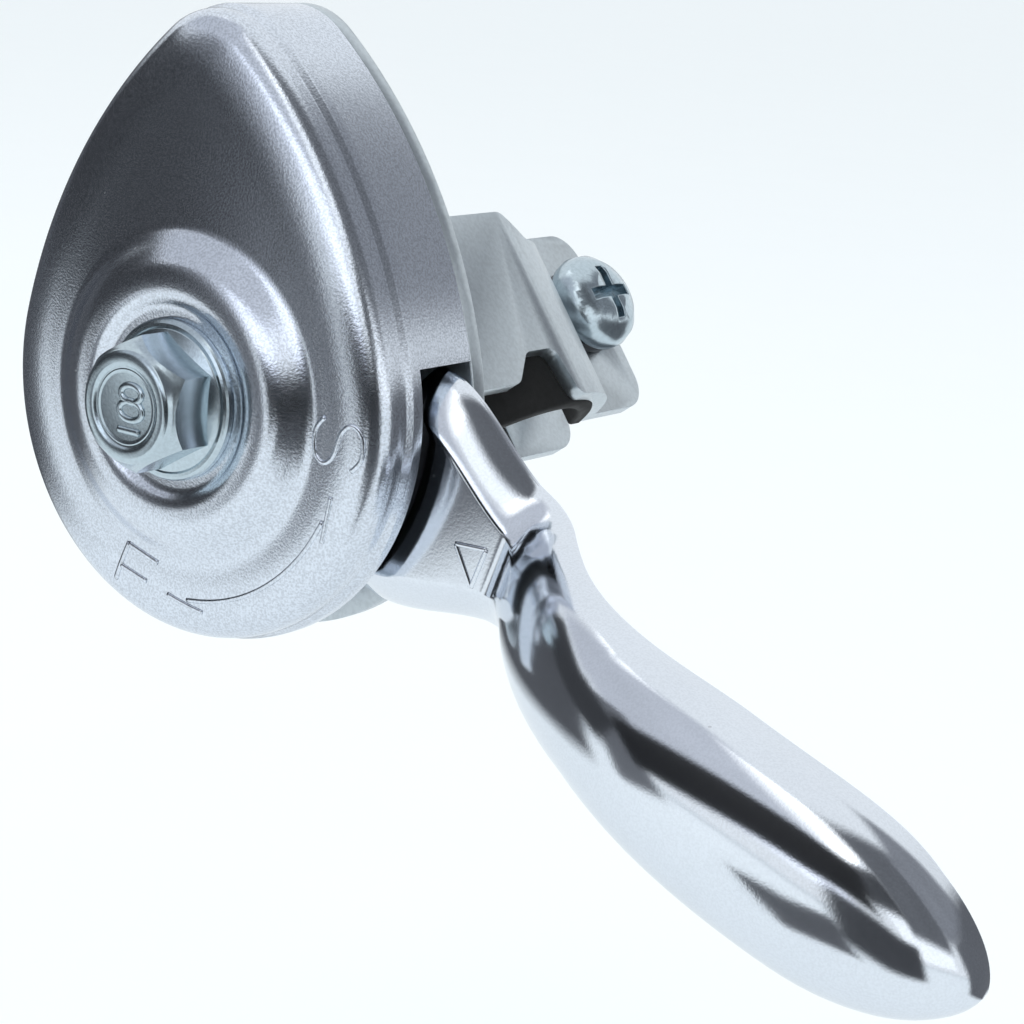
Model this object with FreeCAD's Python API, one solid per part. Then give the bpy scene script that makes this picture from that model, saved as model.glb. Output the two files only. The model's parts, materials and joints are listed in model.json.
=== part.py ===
import FreeCAD, Part
import math
import os

from FreeCAD import Vector

# Frame
# Millimetres. The origin is the centre of the tube clamp's bore. The pivot runs along Y through it,
# the cover's flat face looks towards -Y, and the cover's narrow tip points towards +Z.

# Driving dimensions of the clamp and the tube it grips
tube_radius = 9.5
liner_sheet = 1.6
liner_overhang = 2.2
tube_turn = 36.0
strap_sheet = 1.5
strap_width = 16.6
strap_waist_width = 11.0
upper_waist_start = 0.8
upper_waist_end = 9.9
lower_waist_start = -7.5
lower_waist_end = -0.5
strap_bend = 2.0
ear_overhang = 2.0
ear_gap = 8.0
ear_reach = 9.0
ear_corner = 3.0
tube_to_bolt_gap = 0.5

# Driving dimensions of the cover
cover_sheet = 1.2
cover_radius = 20.8
flank_radius = 47.2
flank_start = 13.0
tip_radius = 7.0
cover_edge_round = 2.2
cover_depth = 11.9
cover_flare = 0.4
flare_start = 3.6
window_depth = 5.2
window_margin = 2.6
dome_base_radius = 14.2
dome_crest_radius = 10.2
dome_height = 2.0
seat_radius = 7.9
seat_depth = 0.7

# Driving dimensions of the pivot
bolt_radius = 3.0
bolt_head_flats = 10.0
bolt_flange_radius = 6.8
bolt_flange_edge = 0.5
bolt_head_height = 5.75
bolt_point = 0.6
bush_radius = 6.0
spring_sheet = 0.7
spring_rise = 0.6
spring_radius = 9.4
pressure_washer_radius = 11.4
pressure_washer_sheet = 1.5
thrust_washer_radius = 13.0
thrust_washer_sheet = 1.2
front_disc_sheet = 1.8
rear_disc_sheet = 0.9
rear_disc_radius = 12.0
drum_radius = 12.6
drum_width = 2.4
drum_groove_depth = 2.0
drum_groove_width = 1.8
cable_end_radius = 2.5
plate_sheet = 1.6
washer_radius = 6.0
washer_sheet = 1.2
nut_flats = 10.0
nut_height = 6.0
nut_hex_height = 4.6
insert_height = 1.6
rivet_radius = 1.1
rivet_head_radius = 1.9
rivet_head_height = 0.7
rivet_edge_gap = 0.25

# Driving dimensions of the lever
lever_sheet = 1.6
lever_rest = -19.5
travel_to_slow = 1.0
travel_to_fast = 74.5
hub_radius = 17.0
blade_start = 17.5
neck_reach = 31.5
crease_lead = 0.9
crease_round = 1.5
bend_length = 37.4
bend_power = 2.6
deepening_start = 36.0
deepening_length = 22.0
lever_reach = 83.6
blade_half_width = 10.6
neck_half_width = 6.0
handle_half_width = 7.1
widest_reach = 64.9
blade_depth = 3.8
handle_depth = 7.4
handle_rise = 16.4
handle_drop = 2.2
drop_length = 13.6
blade_corner_width = 3.2
blade_corner_depth = 3.0
handle_corner_depth = 5.3
crown_length = 18.0
nose_length = 5.5
nose_gap = 0.5
nose_shallowing = 2.4
loft_start = 15.6

# Driving dimensions of the casing lug and the clamp screw
lug_bore_radius = 1.9
lug_wall = 1.3
lug_front_wall = 0.7
lug_mouth = 1.6
lug_sheet = 1.6
lug_height = 16.6
screw_radius = 2.5
screw_head_radius = 4.8
screw_head_height = 3.6
screw_spring_washer_radius = 4.3
screw_spring_washer_sheet = 1.2
screw_nut_flats = 8.0
screw_nut_height = 4.0
screw_end = 1.5
cross_length = 5.4
cross_width = 1.1
cross_depth = 1.8

# Clearances
bolt_clearance = 0.1
bush_clearance = 0.05
disc_edge_gap = 0.4

# Places along the pivot, measured back from the cover's flat face
seat_front = -(dome_height - seat_depth)
seat_back = seat_front + cover_sheet
springs_back = seat_back + 2 * (spring_sheet + spring_rise)
pressure_back = springs_back + pressure_washer_sheet
thrust_back = pressure_back + thrust_washer_sheet
web_front = thrust_back + front_disc_sheet
web_back = web_front + lever_sheet
drum_back = web_back + drum_width
plate_front = drum_back + rear_disc_sheet
plate_back = plate_front + plate_sheet
strap_web_back = plate_back + strap_sheet
washer_back = strap_web_back + washer_sheet
nut_back = washer_back + nut_height
bolt_end = nut_back + bolt_point
grip_radius = tube_radius + liner_sheet
face_back = grip_radius + tube_to_bolt_gap + bolt_end

STEEL_TOLERANCE = 1e-6
CUT_MARGIN = 2.0


# Small builders shared by the sub-parts

def solid_of(shape):
    """Return the one solid, or the compound of solids, that a shape holds."""
    shape = shape.removeSplitter()
    solids = shape.Solids
    return solids[0] if len(solids) == 1 else Part.makeCompound(solids)


def rounded_wire(points, radii, closed=True, chords=False):
    """Join points with straight runs, and round each corner with its own radius, as an arc or as two chords."""
    count = len(points)
    starts = []
    ends = []
    for index in range(count):
        here = points[index]
        radius = radii[index]
        on_end = not closed and index in (0, count - 1)
        if radius <= 0 or on_end:
            starts.append(here)
            ends.append(here)
            continue
        to_last = (points[index - 1] - here).normalize()
        to_next = (points[(index + 1) % count] - here).normalize()
        half = to_last.getAngle(to_next) / 2
        reach = radius / math.tan(half)
        starts.append(here + to_last * reach)
        ends.append(here + to_next * reach)
    edges = []
    for index in range(count):
        here = points[index]
        start = starts[index]
        end = ends[index]
        if (start - end).Length > STEEL_TOLERANCE:
            inward = ((start - here).normalize() + (end - here).normalize()).normalize()
            half = (start - here).getAngle(inward)
            centre = here + inward * (radii[index] / math.sin(half))
            middle = centre - inward * radii[index]
            if chords:
                edges.append(Part.makeLine(start, middle))
                edges.append(Part.makeLine(middle, end))
            else:
                edges.append(Part.Arc(start, middle, end).toShape())
        last = not closed and index == count - 1
        following = starts[(index + 1) % count]
        if not last and (end - following).Length > STEEL_TOLERANCE:
            edges.append(Part.makeLine(end, following))
    return Part.Wire(edges)


def disc(radius, front, back, bore=0.0):
    """A flat ring about the pivot, between two places along it."""
    ring = Part.makeCylinder(radius, back - front, Vector(0, front, 0), Vector(0, 1, 0))
    if bore > 0:
        length = back - front + 2 * CUT_MARGIN
        hole = Part.makeCylinder(bore, length, Vector(0, front - CUT_MARGIN, 0), Vector(0, 1, 0))
        ring = ring.cut(hole)
    return ring


def turned(profile, radii):
    """Turn a closed profile of (radius, place along the pivot) about the pivot."""
    points = [Vector(radius, place, 0) for radius, place in profile]
    face = Part.Face(rounded_wire(points, radii, chords=True))
    return face.revolve(Vector(0, 0, 0), Vector(0, 1, 0), 360)


def hexagon(flats, front, back, bevel):
    """A hexagonal prism along the pivot whose front corners are bevelled."""
    corner_radius = flats / math.sqrt(3)
    points = []
    for step in range(6):
        angle = math.radians(60 * step + 30)
        points.append(Vector(corner_radius * math.cos(angle), front, corner_radius * math.sin(angle)))
    prism = Part.Face(Part.makePolygon(points + points[:1])).extrude(Vector(0, back - front, 0))
    slope = corner_radius - flats / 2
    cone_profile = [
        (0, front),
        (flats / 2 * 0.96, front),
        (corner_radius + slope, front + bevel * 2.2),
        (corner_radius + slope, back),
        (0, back),
    ]
    return prism.common(turned(cone_profile, [0] * 5))


def teardrop_wire(inset, place):
    """The cover's outline: a round, two long flanks and a small round tip, all tangent."""
    angle = math.radians(flank_start)
    flank_offset = flank_radius - cover_radius
    flank_centre = (-flank_offset * math.cos(angle), -flank_offset * math.sin(angle))
    tip_span = flank_radius - tip_radius
    tip_height = flank_centre[1] + math.sqrt(tip_span ** 2 - flank_centre[0] ** 2)
    flank_end = math.atan2(tip_height - flank_centre[1], -flank_centre[0])

    def on_flank(turn):
        reach = flank_radius - inset
        return flank_centre[0] + reach * math.cos(turn), flank_centre[1] + reach * math.sin(turn)

    lower = on_flank(angle)
    middle = on_flank((angle + flank_end) / 2)
    upper = on_flank(flank_end)
    right = [Vector(x, place, z) for x, z in (lower, middle, upper)]
    left = [Vector(-x, place, z) for x, z in (upper, middle, lower)]
    top = Vector(0, place, tip_height + tip_radius - inset)
    bottom = Vector(0, place, -(cover_radius - inset))
    edges = [
        Part.Arc(right[0], right[1], right[2]).toShape(),
        Part.Arc(right[2], top, left[0]).toShape(),
        Part.Arc(left[0], left[1], left[2]).toShape(),
        Part.Arc(left[2], bottom, right[0]).toShape(),
    ]
    return Part.Wire(edges)


def teardrop(inset, front, back):
    """A solid slab of the cover's outline."""
    return Part.Face(teardrop_wire(inset, front)).extrude(Vector(0, back - front, 0))


def front_rim(slab, front):
    """The edges round the front face of a slab."""
    return [edge for edge in slab.Edges if abs(edge.BoundBox.YMin - front) < 1e-4
            and abs(edge.BoundBox.YMax - front) < 1e-4]


def sector(start, end, radius, front, back):
    """A pie slice about the pivot, from one angle to another, measured from +X towards +Z."""
    middle = (start + end) / 2
    corners = []
    for turn in (start, middle, end):
        angle = math.radians(turn)
        corners.append(Vector(radius * math.cos(angle), front, radius * math.sin(angle)))
    centre = Vector(0, front, 0)
    edges = [
        Part.makeLine(centre, corners[0]),
        Part.Arc(corners[0], corners[1], corners[2]).toShape(),
        Part.makeLine(corners[2], centre),
    ]
    return Part.Face(Part.Wire(edges)).extrude(Vector(0, back - front, 0))


def turn_about_pivot(shape, degrees):
    """Turn a shape about the pivot, from +X towards +Z."""
    moved = shape.copy()
    moved.rotate(Vector(0, 0, 0), Vector(0, 1, 0), -degrees)
    return moved


# Cover

def blade_corner_angle():
    """Half the angle that the blade takes up where it leaves the cover."""
    return math.degrees(math.asin(blade_half_width / (cover_radius + cover_flare)))


def window_span():
    """The two angles between which the lever swings through the cover's wall."""
    half = blade_corner_angle()
    upper = lever_rest + travel_to_slow + half + window_margin
    lower = lever_rest - travel_to_fast - half - window_margin
    return lower, upper


def cover():
    """Pressed steel cap: flat face, domed bolt seat, rounded edge and a wall with a window."""
    outer = teardrop(0, 0, cover_depth)
    outer = outer.makeFillet(cover_edge_round, front_rim(outer, 0))
    flare = teardrop(-cover_flare, flare_start, cover_depth)
    outer = outer.fuse(flare)
    inner = teardrop(cover_sheet, cover_sheet, cover_depth + CUT_MARGIN)
    slope = (cover_edge_round - cover_sheet) * (2 - math.sqrt(2))
    inner = inner.makeChamfer(slope, front_rim(inner, cover_sheet))
    inner_flare = teardrop(cover_sheet - cover_flare, flare_start + cover_sheet, cover_depth + CUT_MARGIN)
    shell = outer.cut(inner.fuse(inner_flare))
    shell = shell.cut(disc(dome_base_radius, -CUT_MARGIN, cover_sheet + CUT_MARGIN))
    shell = shell.fuse(dome())
    lower, upper = window_span()
    window = sector(lower, upper, 2 * lever_reach, window_depth, cover_depth + CUT_MARGIN)
    shell = shell.cut(window)
    return solid_of(shell.cut(casing_notch()))


def dome():
    """The raised ring with a sunk flat seat for the bolt, in sheet of one thickness."""
    slope = dome_base_radius - dome_crest_radius
    crest_outer = dome_crest_radius + 0.35 * slope
    profile = [
        (dome_base_radius, 0),
        (crest_outer, -dome_height),
        (seat_radius + cover_sheet, -dome_height),
        (seat_radius, seat_front),
        (bolt_radius + bolt_clearance, seat_front),
        (bolt_radius + bolt_clearance, seat_back),
        (seat_radius + cover_sheet * 0.35, seat_back),
        (seat_radius + cover_sheet * 1.35, cover_sheet - dome_height),
        (crest_outer - cover_sheet * 0.5, cover_sheet - dome_height),
        (dome_base_radius - cover_sheet * 0.5, cover_sheet),
        (dome_base_radius, cover_sheet),
    ]
    return turned(profile, [0, 1.6, 0.7, 0.4, 0, 0, 0.3, 0.25, 0.8, 0, 0])


def casing_place():
    """Where the cable casing's centre line runs: beside the pivot and half-way through the drum."""
    return -(drum_radius - drum_groove_depth), web_back + drum_width / 2


def casing_notch():
    """The way out of the wall, open to the rear, for the cable casing."""
    x, place = casing_place()
    width = 2 * (lug_bore_radius + lug_wall)
    top = lug_height + lug_sheet
    notch = Part.makeBox(width, cover_depth, cover_radius, Vector(x - width / 2, place - width / 2, top))
    return notch


# Base plate

def base_plate():
    """Flat back of the housing, with a lug bent forward that holds the cable casing's end."""
    plate = teardrop(-cover_flare, plate_front, plate_back)
    plate = plate.cut(disc(bolt_radius + bolt_clearance, plate_front - CUT_MARGIN, plate_back + CUT_MARGIN))
    for spot in bracket_rivet_spots():
        plate = plate.cut(rivet_hole(spot, rivet_radius))
    return solid_of(plate.fuse(casing_lug()))


def casing_lug():
    """Upright ear with a bore along +Z and a narrow mouth through which the wire is laid in."""
    x, place = casing_place()
    half = lug_bore_radius + lug_wall
    front = place - lug_bore_radius - lug_front_wall
    lug = Part.makeBox(2 * half, plate_back - front, lug_sheet, Vector(x - half, front, lug_height))
    rim = [edge for edge in lug.Edges if abs(edge.BoundBox.YMax - front) < 1e-4
           and edge.BoundBox.ZLength > lug_sheet / 2]
    lug = lug.makeFillet(lug_bore_radius, rim)
    length = lug_sheet + 2 * CUT_MARGIN
    bottom = lug_height - CUT_MARGIN
    bore = Part.makeCylinder(lug_bore_radius, length, Vector(x, place, bottom))
    mouth = Part.makeBox(lug_mouth, place - front + CUT_MARGIN, length,
                         Vector(x - lug_mouth / 2, front - CUT_MARGIN, bottom))
    return lug.cut(bore).cut(mouth)


# Tube clamp

def strap_band():
    """The strap as one band of even thickness: web, two walls, two rounds and two ears."""
    web_front_y = plate_back - face_back
    web_back_y = strap_web_back - face_back
    outer = grip_radius + strap_sheet
    ear_outer = ear_gap / 2 + strap_sheet
    ear_root = math.sqrt(outer ** 2 - ear_outer ** 2)
    ear_end = ear_root + ear_reach
    block = Part.makeBox(
        2 * outer, -web_front_y, 2 * strap_width, Vector(-outer, web_front_y, -strap_width)
    )
    bends = [edge for edge in block.Edges if abs(edge.BoundBox.YMax - web_front_y) < 1e-4
             and edge.BoundBox.ZLength > strap_width]
    block = block.makeFillet(strap_bend + strap_sheet, bends)
    tube = Part.makeCylinder(outer, 2 * strap_width, Vector(0, 0, -strap_width))
    ears = Part.makeBox(
        2 * ear_outer, ear_end, 2 * strap_width, Vector(-ear_outer, 0, -strap_width)
    )
    whole = block.fuse(tube).fuse(ears)
    hollow = Part.makeBox(
        2 * grip_radius, -web_back_y, 2 * strap_width, Vector(-grip_radius, web_back_y, -strap_width)
    )
    inner_bends = [edge for edge in hollow.Edges if abs(edge.BoundBox.YMax - web_back_y) < 1e-4
                   and edge.BoundBox.ZLength > strap_width]
    hollow = hollow.makeFillet(strap_bend, inner_bends)
    bore = Part.makeCylinder(grip_radius, 2 * strap_width, Vector(0, 0, -strap_width))
    slot = Part.makeBox(
        ear_gap, ear_end + CUT_MARGIN, 2 * strap_width, Vector(-ear_gap / 2, 0, -strap_width)
    )
    return whole.cut(hollow).cut(bore).cut(slot), ear_end


def strap_edge(start, end, ear_half, ear_end):
    """One long edge of the strap's blank: wide over the wall, a waist, then out to the ear's corner."""
    wide = strap_width / 2
    narrow = strap_waist_width / 2
    front = plate_back - face_back - CUT_MARGIN
    lead = wide - narrow
    return [
        (front, wide, 0),
        (start, wide, 1.6),
        (start + lead, narrow, 1.2),
        (end, narrow, 1.2),
        (end + 0.3 * lead, ear_half, 1.2),
        (ear_end, ear_half, ear_corner),
    ]


def strap_blank(ear_end):
    """Side view of the strap: a waist over the rounds above, and a notch before them below."""
    wide = strap_width / 2
    upper = strap_edge(upper_waist_start, upper_waist_end, wide, ear_end)
    notched = strap_edge(lower_waist_start, lower_waist_end, wide + ear_overhang, ear_end)
    lower = [(y, -z, radius) for y, z, radius in reversed(notched)]
    points = [Vector(-2 * grip_radius, y, z) for y, z, radius in upper + lower]
    radii = [radius for y, z, radius in upper + lower]
    face = Part.Face(rounded_wire(points, radii))
    return face.extrude(Vector(4 * grip_radius, 0, 0))


def clamp_liner():
    """Rubber sleeve between the tube and the strap, open at the ears and seen through the notch."""
    start = -(strap_width / 2 + liner_overhang)
    length = strap_width + liner_overhang
    sleeve = Part.makeCylinder(grip_radius, length, Vector(0, 0, start))
    bore = Part.makeCylinder(tube_radius, length + 2 * CUT_MARGIN, Vector(0, 0, start - CUT_MARGIN))
    slot = Part.makeBox(ear_gap, 2 * grip_radius, 2 * length, Vector(-ear_gap / 2, 0, start - CUT_MARGIN))
    return solid_of(to_pivot_frame(sleeve.cut(bore).cut(slot)))


def clamp_strap():
    """Bent strap that grips the tube and closes on a cross screw."""
    band, ear_end = strap_band()
    strap = band.common(strap_blank(ear_end))
    strap = strap.cut(screw_hole(screw_radius + bolt_clearance))
    strap = to_pivot_frame(strap)
    front = plate_back - CUT_MARGIN
    strap = strap.cut(disc(bolt_radius + bolt_clearance, front, strap_web_back + CUT_MARGIN))
    for spot in bracket_rivet_spots():
        strap = strap.cut(rivet_hole(spot, rivet_radius))
    return solid_of(strap)


def to_pivot_frame(shape):
    """Turn a clamp piece about the pivot and move it from the tube's centre to face places."""
    moved = turn_about_pivot(shape, tube_turn)
    moved.translate(Vector(0, face_back, 0))
    return moved


def screw_place():
    """How far behind the tube's centre the clamp screw runs."""
    outer = grip_radius + strap_sheet
    ear_outer = ear_gap / 2 + strap_sheet
    return math.sqrt(outer ** 2 - ear_outer ** 2) + ear_reach / 2


def along_screw(radius, start, end):
    """A cylinder on the clamp screw's line."""
    return Part.makeCylinder(radius, end - start, Vector(start, screw_place(), 0), Vector(1, 0, 0))


def screw_hole(radius):
    """The hole through both ears."""
    reach = ear_gap / 2 + strap_sheet + CUT_MARGIN
    return along_screw(radius, -reach, reach)


def pan_head(seat, top):
    """The screw's rounded head, turned from a few chords about the screw's line."""
    height = top - seat
    profile = [
        (seat, 0),
        (seat, screw_head_radius * 0.96),
        (seat + height * 0.3, screw_head_radius),
        (seat + height * 0.62, screw_head_radius * 0.92),
        (seat + height * 0.87, screw_head_radius * 0.72),
        (top, screw_head_radius * 0.42),
        (top, 0),
    ]
    points = [Vector(place, screw_place() + reach, 0) for place, reach in profile]
    face = Part.Face(Part.makePolygon(points + points[:1]))
    return face.revolve(Vector(0, screw_place(), 0), Vector(1, 0, 0), 360)


def clamp_screw():
    """Pan head cross screw through both ears."""
    head_seat = ear_gap / 2 + strap_sheet + screw_spring_washer_sheet
    end = -(ear_gap / 2 + strap_sheet + screw_nut_height + screw_end)
    shank = along_screw(screw_radius, end, head_seat)
    tip_edges = [edge for edge in shank.Edges if abs(edge.BoundBox.XMax - end) < 1e-4]
    shank = shank.makeChamfer(0.5, tip_edges)
    top = head_seat + screw_head_height
    head = pan_head(head_seat, top)
    for width, length in ((cross_width, cross_length), (cross_length, cross_width)):
        bar = Part.makeBox(
            cross_depth + CUT_MARGIN,
            width,
            length,
            Vector(top - cross_depth, screw_place() - width / 2, -length / 2),
        )
        head = head.cut(bar)
    return solid_of(to_pivot_frame(shank.fuse(head)))


def clamp_spring_washer():
    """Split spring washer under the screw's head."""
    start = ear_gap / 2 + strap_sheet
    end = start + screw_spring_washer_sheet
    ring = along_screw(screw_spring_washer_radius, start, end)
    ring = ring.cut(screw_hole(screw_radius + bolt_clearance))
    split = Part.makeBox(
        2 * screw_spring_washer_sheet,
        0.6,
        screw_spring_washer_radius + CUT_MARGIN,
        Vector(start - screw_spring_washer_sheet / 2, screw_place() - 0.3, 0),
    )
    split.rotate(Vector(start, screw_place(), 0), Vector(1, 0, 0), 140)
    return solid_of(to_pivot_frame(ring.cut(split)))


def clamp_nut():
    """Hexagon nut on the far ear."""
    end = -(ear_gap / 2 + strap_sheet)
    nut = hexagon(screw_nut_flats, -screw_nut_height, 0, 0.4)
    nut = nut.cut(disc(screw_radius + bush_clearance, -screw_nut_height - CUT_MARGIN, CUT_MARGIN))
    nut.rotate(Vector(0, 0, 0), Vector(0, 0, 1), -90)
    nut.translate(Vector(end, screw_place(), 0))
    return solid_of(to_pivot_frame(nut))


# Rivets

def bracket_rivet_spots():
    """Centres of the two rivets that hold the strap's web to the base plate, in opposite corners."""
    across = grip_radius - strap_bend - rivet_head_radius - rivet_edge_gap
    along = strap_width / 2 - rivet_head_radius - rivet_edge_gap
    angle = math.radians(tube_turn)
    x = across * math.cos(angle) - along * math.sin(angle)
    z = across * math.sin(angle) + along * math.cos(angle)
    return (x, z), (-x, -z)


def rivet_hole(spot, radius):
    """A hole along the pivot's direction through everything at one spot."""
    reach = face_back
    return Part.makeCylinder(radius, 2 * reach, Vector(spot[0], -reach, spot[1]), Vector(0, 1, 0))


def rivet(spot, front, back, head_behind):
    """A rivet with a flush front end and a domed head behind, or the other way round."""
    shank = Part.makeCylinder(rivet_radius, back - front, Vector(spot[0], front, spot[1]), Vector(0, 1, 0))
    start = back if head_behind else front - rivet_head_height
    head = Part.makeCylinder(
        rivet_head_radius, rivet_head_height, Vector(spot[0], start, spot[1]), Vector(0, 1, 0)
    )
    far = start + rivet_head_height if head_behind else start
    crown = [edge for edge in head.Edges if abs(edge.BoundBox.YMin - far) < 1e-4
             and abs(edge.BoundBox.YMax - far) < 1e-4]
    return solid_of(shank.fuse(head.makeChamfer(rivet_head_height * 0.7, crown)))


def bracket_rivets():
    """Two rivets through the base plate and the strap's web."""
    return [rivet(spot, plate_front, strap_web_back, True) for spot in bracket_rivet_spots()]


def drum_rivet_spots():
    """Centres of the three rivets that hold the drum to the lever."""
    reach = (bush_radius + drum_radius - drum_groove_depth) / 2
    spots = []
    for step in range(3):
        angle = math.radians(120 * step + 60 + lever_rest)
        spots.append((reach * math.cos(angle), reach * math.sin(angle)))
    return spots


def drum_rivets():
    """Three flush rivets through the lever's hub and the drum."""
    rivets = []
    for spot in drum_rivet_spots():
        length = drum_back - web_front
        rivets.append(
            Part.makeCylinder(rivet_radius, length, Vector(spot[0], web_front, spot[1]), Vector(0, 1, 0))
        )
    return rivets


# Pivot stack

def pivot_bolt():
    """Hexagon bolt with a flange, its head dished in front."""
    head_front = seat_front - bolt_head_height
    flange_front = seat_front - bolt_flange_edge
    hexagon_head = hexagon(bolt_head_flats, head_front, seat_front, 0.5)
    flange = turned(
        [
            (0, seat_front),
            (bolt_flange_radius, seat_front),
            (bolt_flange_radius, flange_front),
            (bolt_head_flats / 2, flange_front - 0.9),
            (0, flange_front - 0.9),
        ],
        [0] * 5,
    )
    shank = turned(
        [(0, seat_front), (bolt_radius, seat_front), (bolt_radius, bolt_end), (0, bolt_end)], [0, 0, 0.5, 0]
    )
    ring_outer = bolt_head_flats / 2 - 0.9
    groove = turned(
        [
            (0, head_front - CUT_MARGIN),
            (ring_outer, head_front - CUT_MARGIN),
            (ring_outer, head_front),
            (ring_outer - 0.4, head_front + 0.35),
            (0, head_front + 0.35),
        ],
        [0] * 5,
    )
    return solid_of(hexagon_head.fuse(flange).cut(groove).fuse(shank))


def lock_nut():
    """Hexagon lock nut with a collar that holds the insert."""
    body = hexagon(nut_flats, 0, nut_hex_height, 0.4)
    collar_radius = nut_flats / 2 - 0.6
    collar = disc(collar_radius, 0, nut_height)
    nut = body.fuse(collar)
    nut = nut.cut(disc(bolt_radius + bush_clearance, -CUT_MARGIN, nut_height + CUT_MARGIN))
    nut = nut.cut(disc(collar_radius - 0.8, nut_height - insert_height - 0.4, nut_height - 0.4))
    nut.translate(Vector(0, washer_back, 0))
    return solid_of(nut)


def lock_nut_insert():
    """Nylon ring inside the lock nut's collar."""
    start = washer_back + nut_height - insert_height - 0.4
    radius = nut_flats / 2 - 0.6 - 0.8
    return disc(radius, start, start + insert_height, bolt_radius + bush_clearance)


def rear_washer():
    """Plain washer under the lock nut."""
    return disc(washer_radius, strap_web_back, washer_back, bolt_radius + bolt_clearance)


def pivot_bush():
    """Steel tube that the bolt clamps, on which the lever turns."""
    return disc(bush_radius, seat_back, plate_front, bolt_radius + bolt_clearance)


def disc_spring(front, small_end_first):
    """A conical spring washer round the bush."""
    bore = bush_radius + bush_clearance
    rise = spring_rise if small_end_first else -spring_rise
    start = front if small_end_first else front + spring_rise
    profile = [
        (bore, start),
        (spring_radius, start + rise),
        (spring_radius, start + rise + spring_sheet),
        (bore, start + spring_sheet),
    ]
    return turned(profile, [0] * 4)


def disc_springs():
    """Two conical springs, wide ends together."""
    first = disc_spring(seat_back, True)
    second = disc_spring(seat_back + spring_sheet + spring_rise, False)
    return [first, second]


def pressure_washer():
    """Steel washer that spreads the springs' load."""
    return disc(pressure_washer_radius, springs_back, pressure_back, bush_radius + bush_clearance)


def thrust_washer():
    """Steel washer between the pressure washer and the friction disc."""
    return disc(thrust_washer_radius, pressure_back, thrust_back, bush_radius + bush_clearance)


def friction_disc_front():
    """Wide fibre disc in front of the lever's hub; its rim shows in the window."""
    radius = cover_radius - cover_sheet - disc_edge_gap
    return disc(radius, thrust_back, web_front, bush_radius + bush_clearance)


def friction_disc_rear():
    """Small fibre disc between the drum and the base plate."""
    return disc(rear_disc_radius, drum_back, plate_front, bush_radius + bush_clearance)


def cable_drum():
    """Grooved drum for the cable, with a pocket for the cable's end and a slot for its wire."""
    groove_half = drum_groove_width / 2
    middle = web_back + drum_width / 2
    floor = drum_radius - drum_groove_depth
    bore = bush_radius + bush_clearance
    profile = [
        (bore, web_back),
        (drum_radius, web_back),
        (drum_radius, middle - groove_half),
        (floor, middle - groove_half),
        (floor, middle + groove_half),
        (drum_radius, middle + groove_half),
        (drum_radius, drum_back),
        (bore, drum_back),
    ]
    drum = turned(profile, [0] * 8)
    pocket_turn = math.radians(lever_rest + 60 + 180)
    pocket_reach = floor
    pocket = (pocket_reach * math.cos(pocket_turn), pocket_reach * math.sin(pocket_turn))
    drum = drum.cut(
        Part.makeCylinder(
            cable_end_radius, drum_width, Vector(pocket[0], web_back, pocket[1]), Vector(0, 1, 0)
        )
    )
    for spot in drum_rivet_spots():
        drum = drum.cut(rivet_hole(spot, rivet_radius))
    return solid_of(drum)


# Lever

def eased(start, end, share):
    """A smooth step from one value to another."""
    share = min(1.0, max(0.0, share))
    return start + (end - start) * share * share * (3 - 2 * share)


def lever_half_width(reach):
    """Half the lever's width at one distance from the pivot."""
    if reach < neck_reach:
        return eased(blade_half_width, neck_half_width, (reach - blade_start) / (neck_reach - blade_start))
    if reach < widest_reach:
        return eased(neck_half_width, handle_half_width, (reach - neck_reach) / (widest_reach - neck_reach))
    share = min(1.0, (reach - widest_reach) / (lever_reach - widest_reach))
    return handle_half_width * math.sqrt(1 - share ** 2.6)


def lever_crest(reach):
    """How far behind the cover's face the lever's front surface lies, before the nose rounds it off."""
    past = max(reach - neck_reach + crease_lead, -crease_round)
    if past < crease_round:
        past = (past + crease_round) ** 2 / (4 * crease_round)
    share = min(1.0, past / bend_length)
    drop = handle_drop * max(0.0, (reach - lever_reach + drop_length) / drop_length) ** 2
    return web_front - handle_rise * (1 - (1 - share) ** bend_power) + drop


def nose_fall(reach):
    """How far the nose has rounded off at one distance, as a share."""
    share = min(1.0, max(0.0, (reach - lever_reach + nose_length) / nose_length))
    return 1 - math.sqrt(1 - share ** 2)


def lever_corner(reach, half):
    """Width and depth of the rounded corner between the lever's front and its side."""
    crown = eased(0, 1, (reach - neck_reach + 0.2 * crown_length) / crown_length)
    across = blade_corner_width + crown * (half - blade_corner_width)
    deep = blade_corner_depth + crown * (handle_corner_depth - blade_corner_depth)
    return min(across, half - 0.1), max(deep * (1 - 0.8 * nose_fall(reach)), lever_sheet + 0.3)


def lever_depth(reach):
    """How deep the sides are at one distance."""
    share = max(0.0, (reach - lever_reach + 2.1 * nose_length) / (2.1 * nose_length))
    depth = eased(blade_depth, handle_depth, (reach - deepening_start) / deepening_length)
    return depth - nose_shallowing * share ** 2


def lever_slope(reach):
    """Direction of the lever's front surface, as an angle from the cover's plane."""
    step = 0.4
    reach = min(reach, lever_reach - nose_length)
    rise = lever_crest(reach + step) - lever_crest(reach - step)
    return math.atan2(rise, 2 * step)


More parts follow.
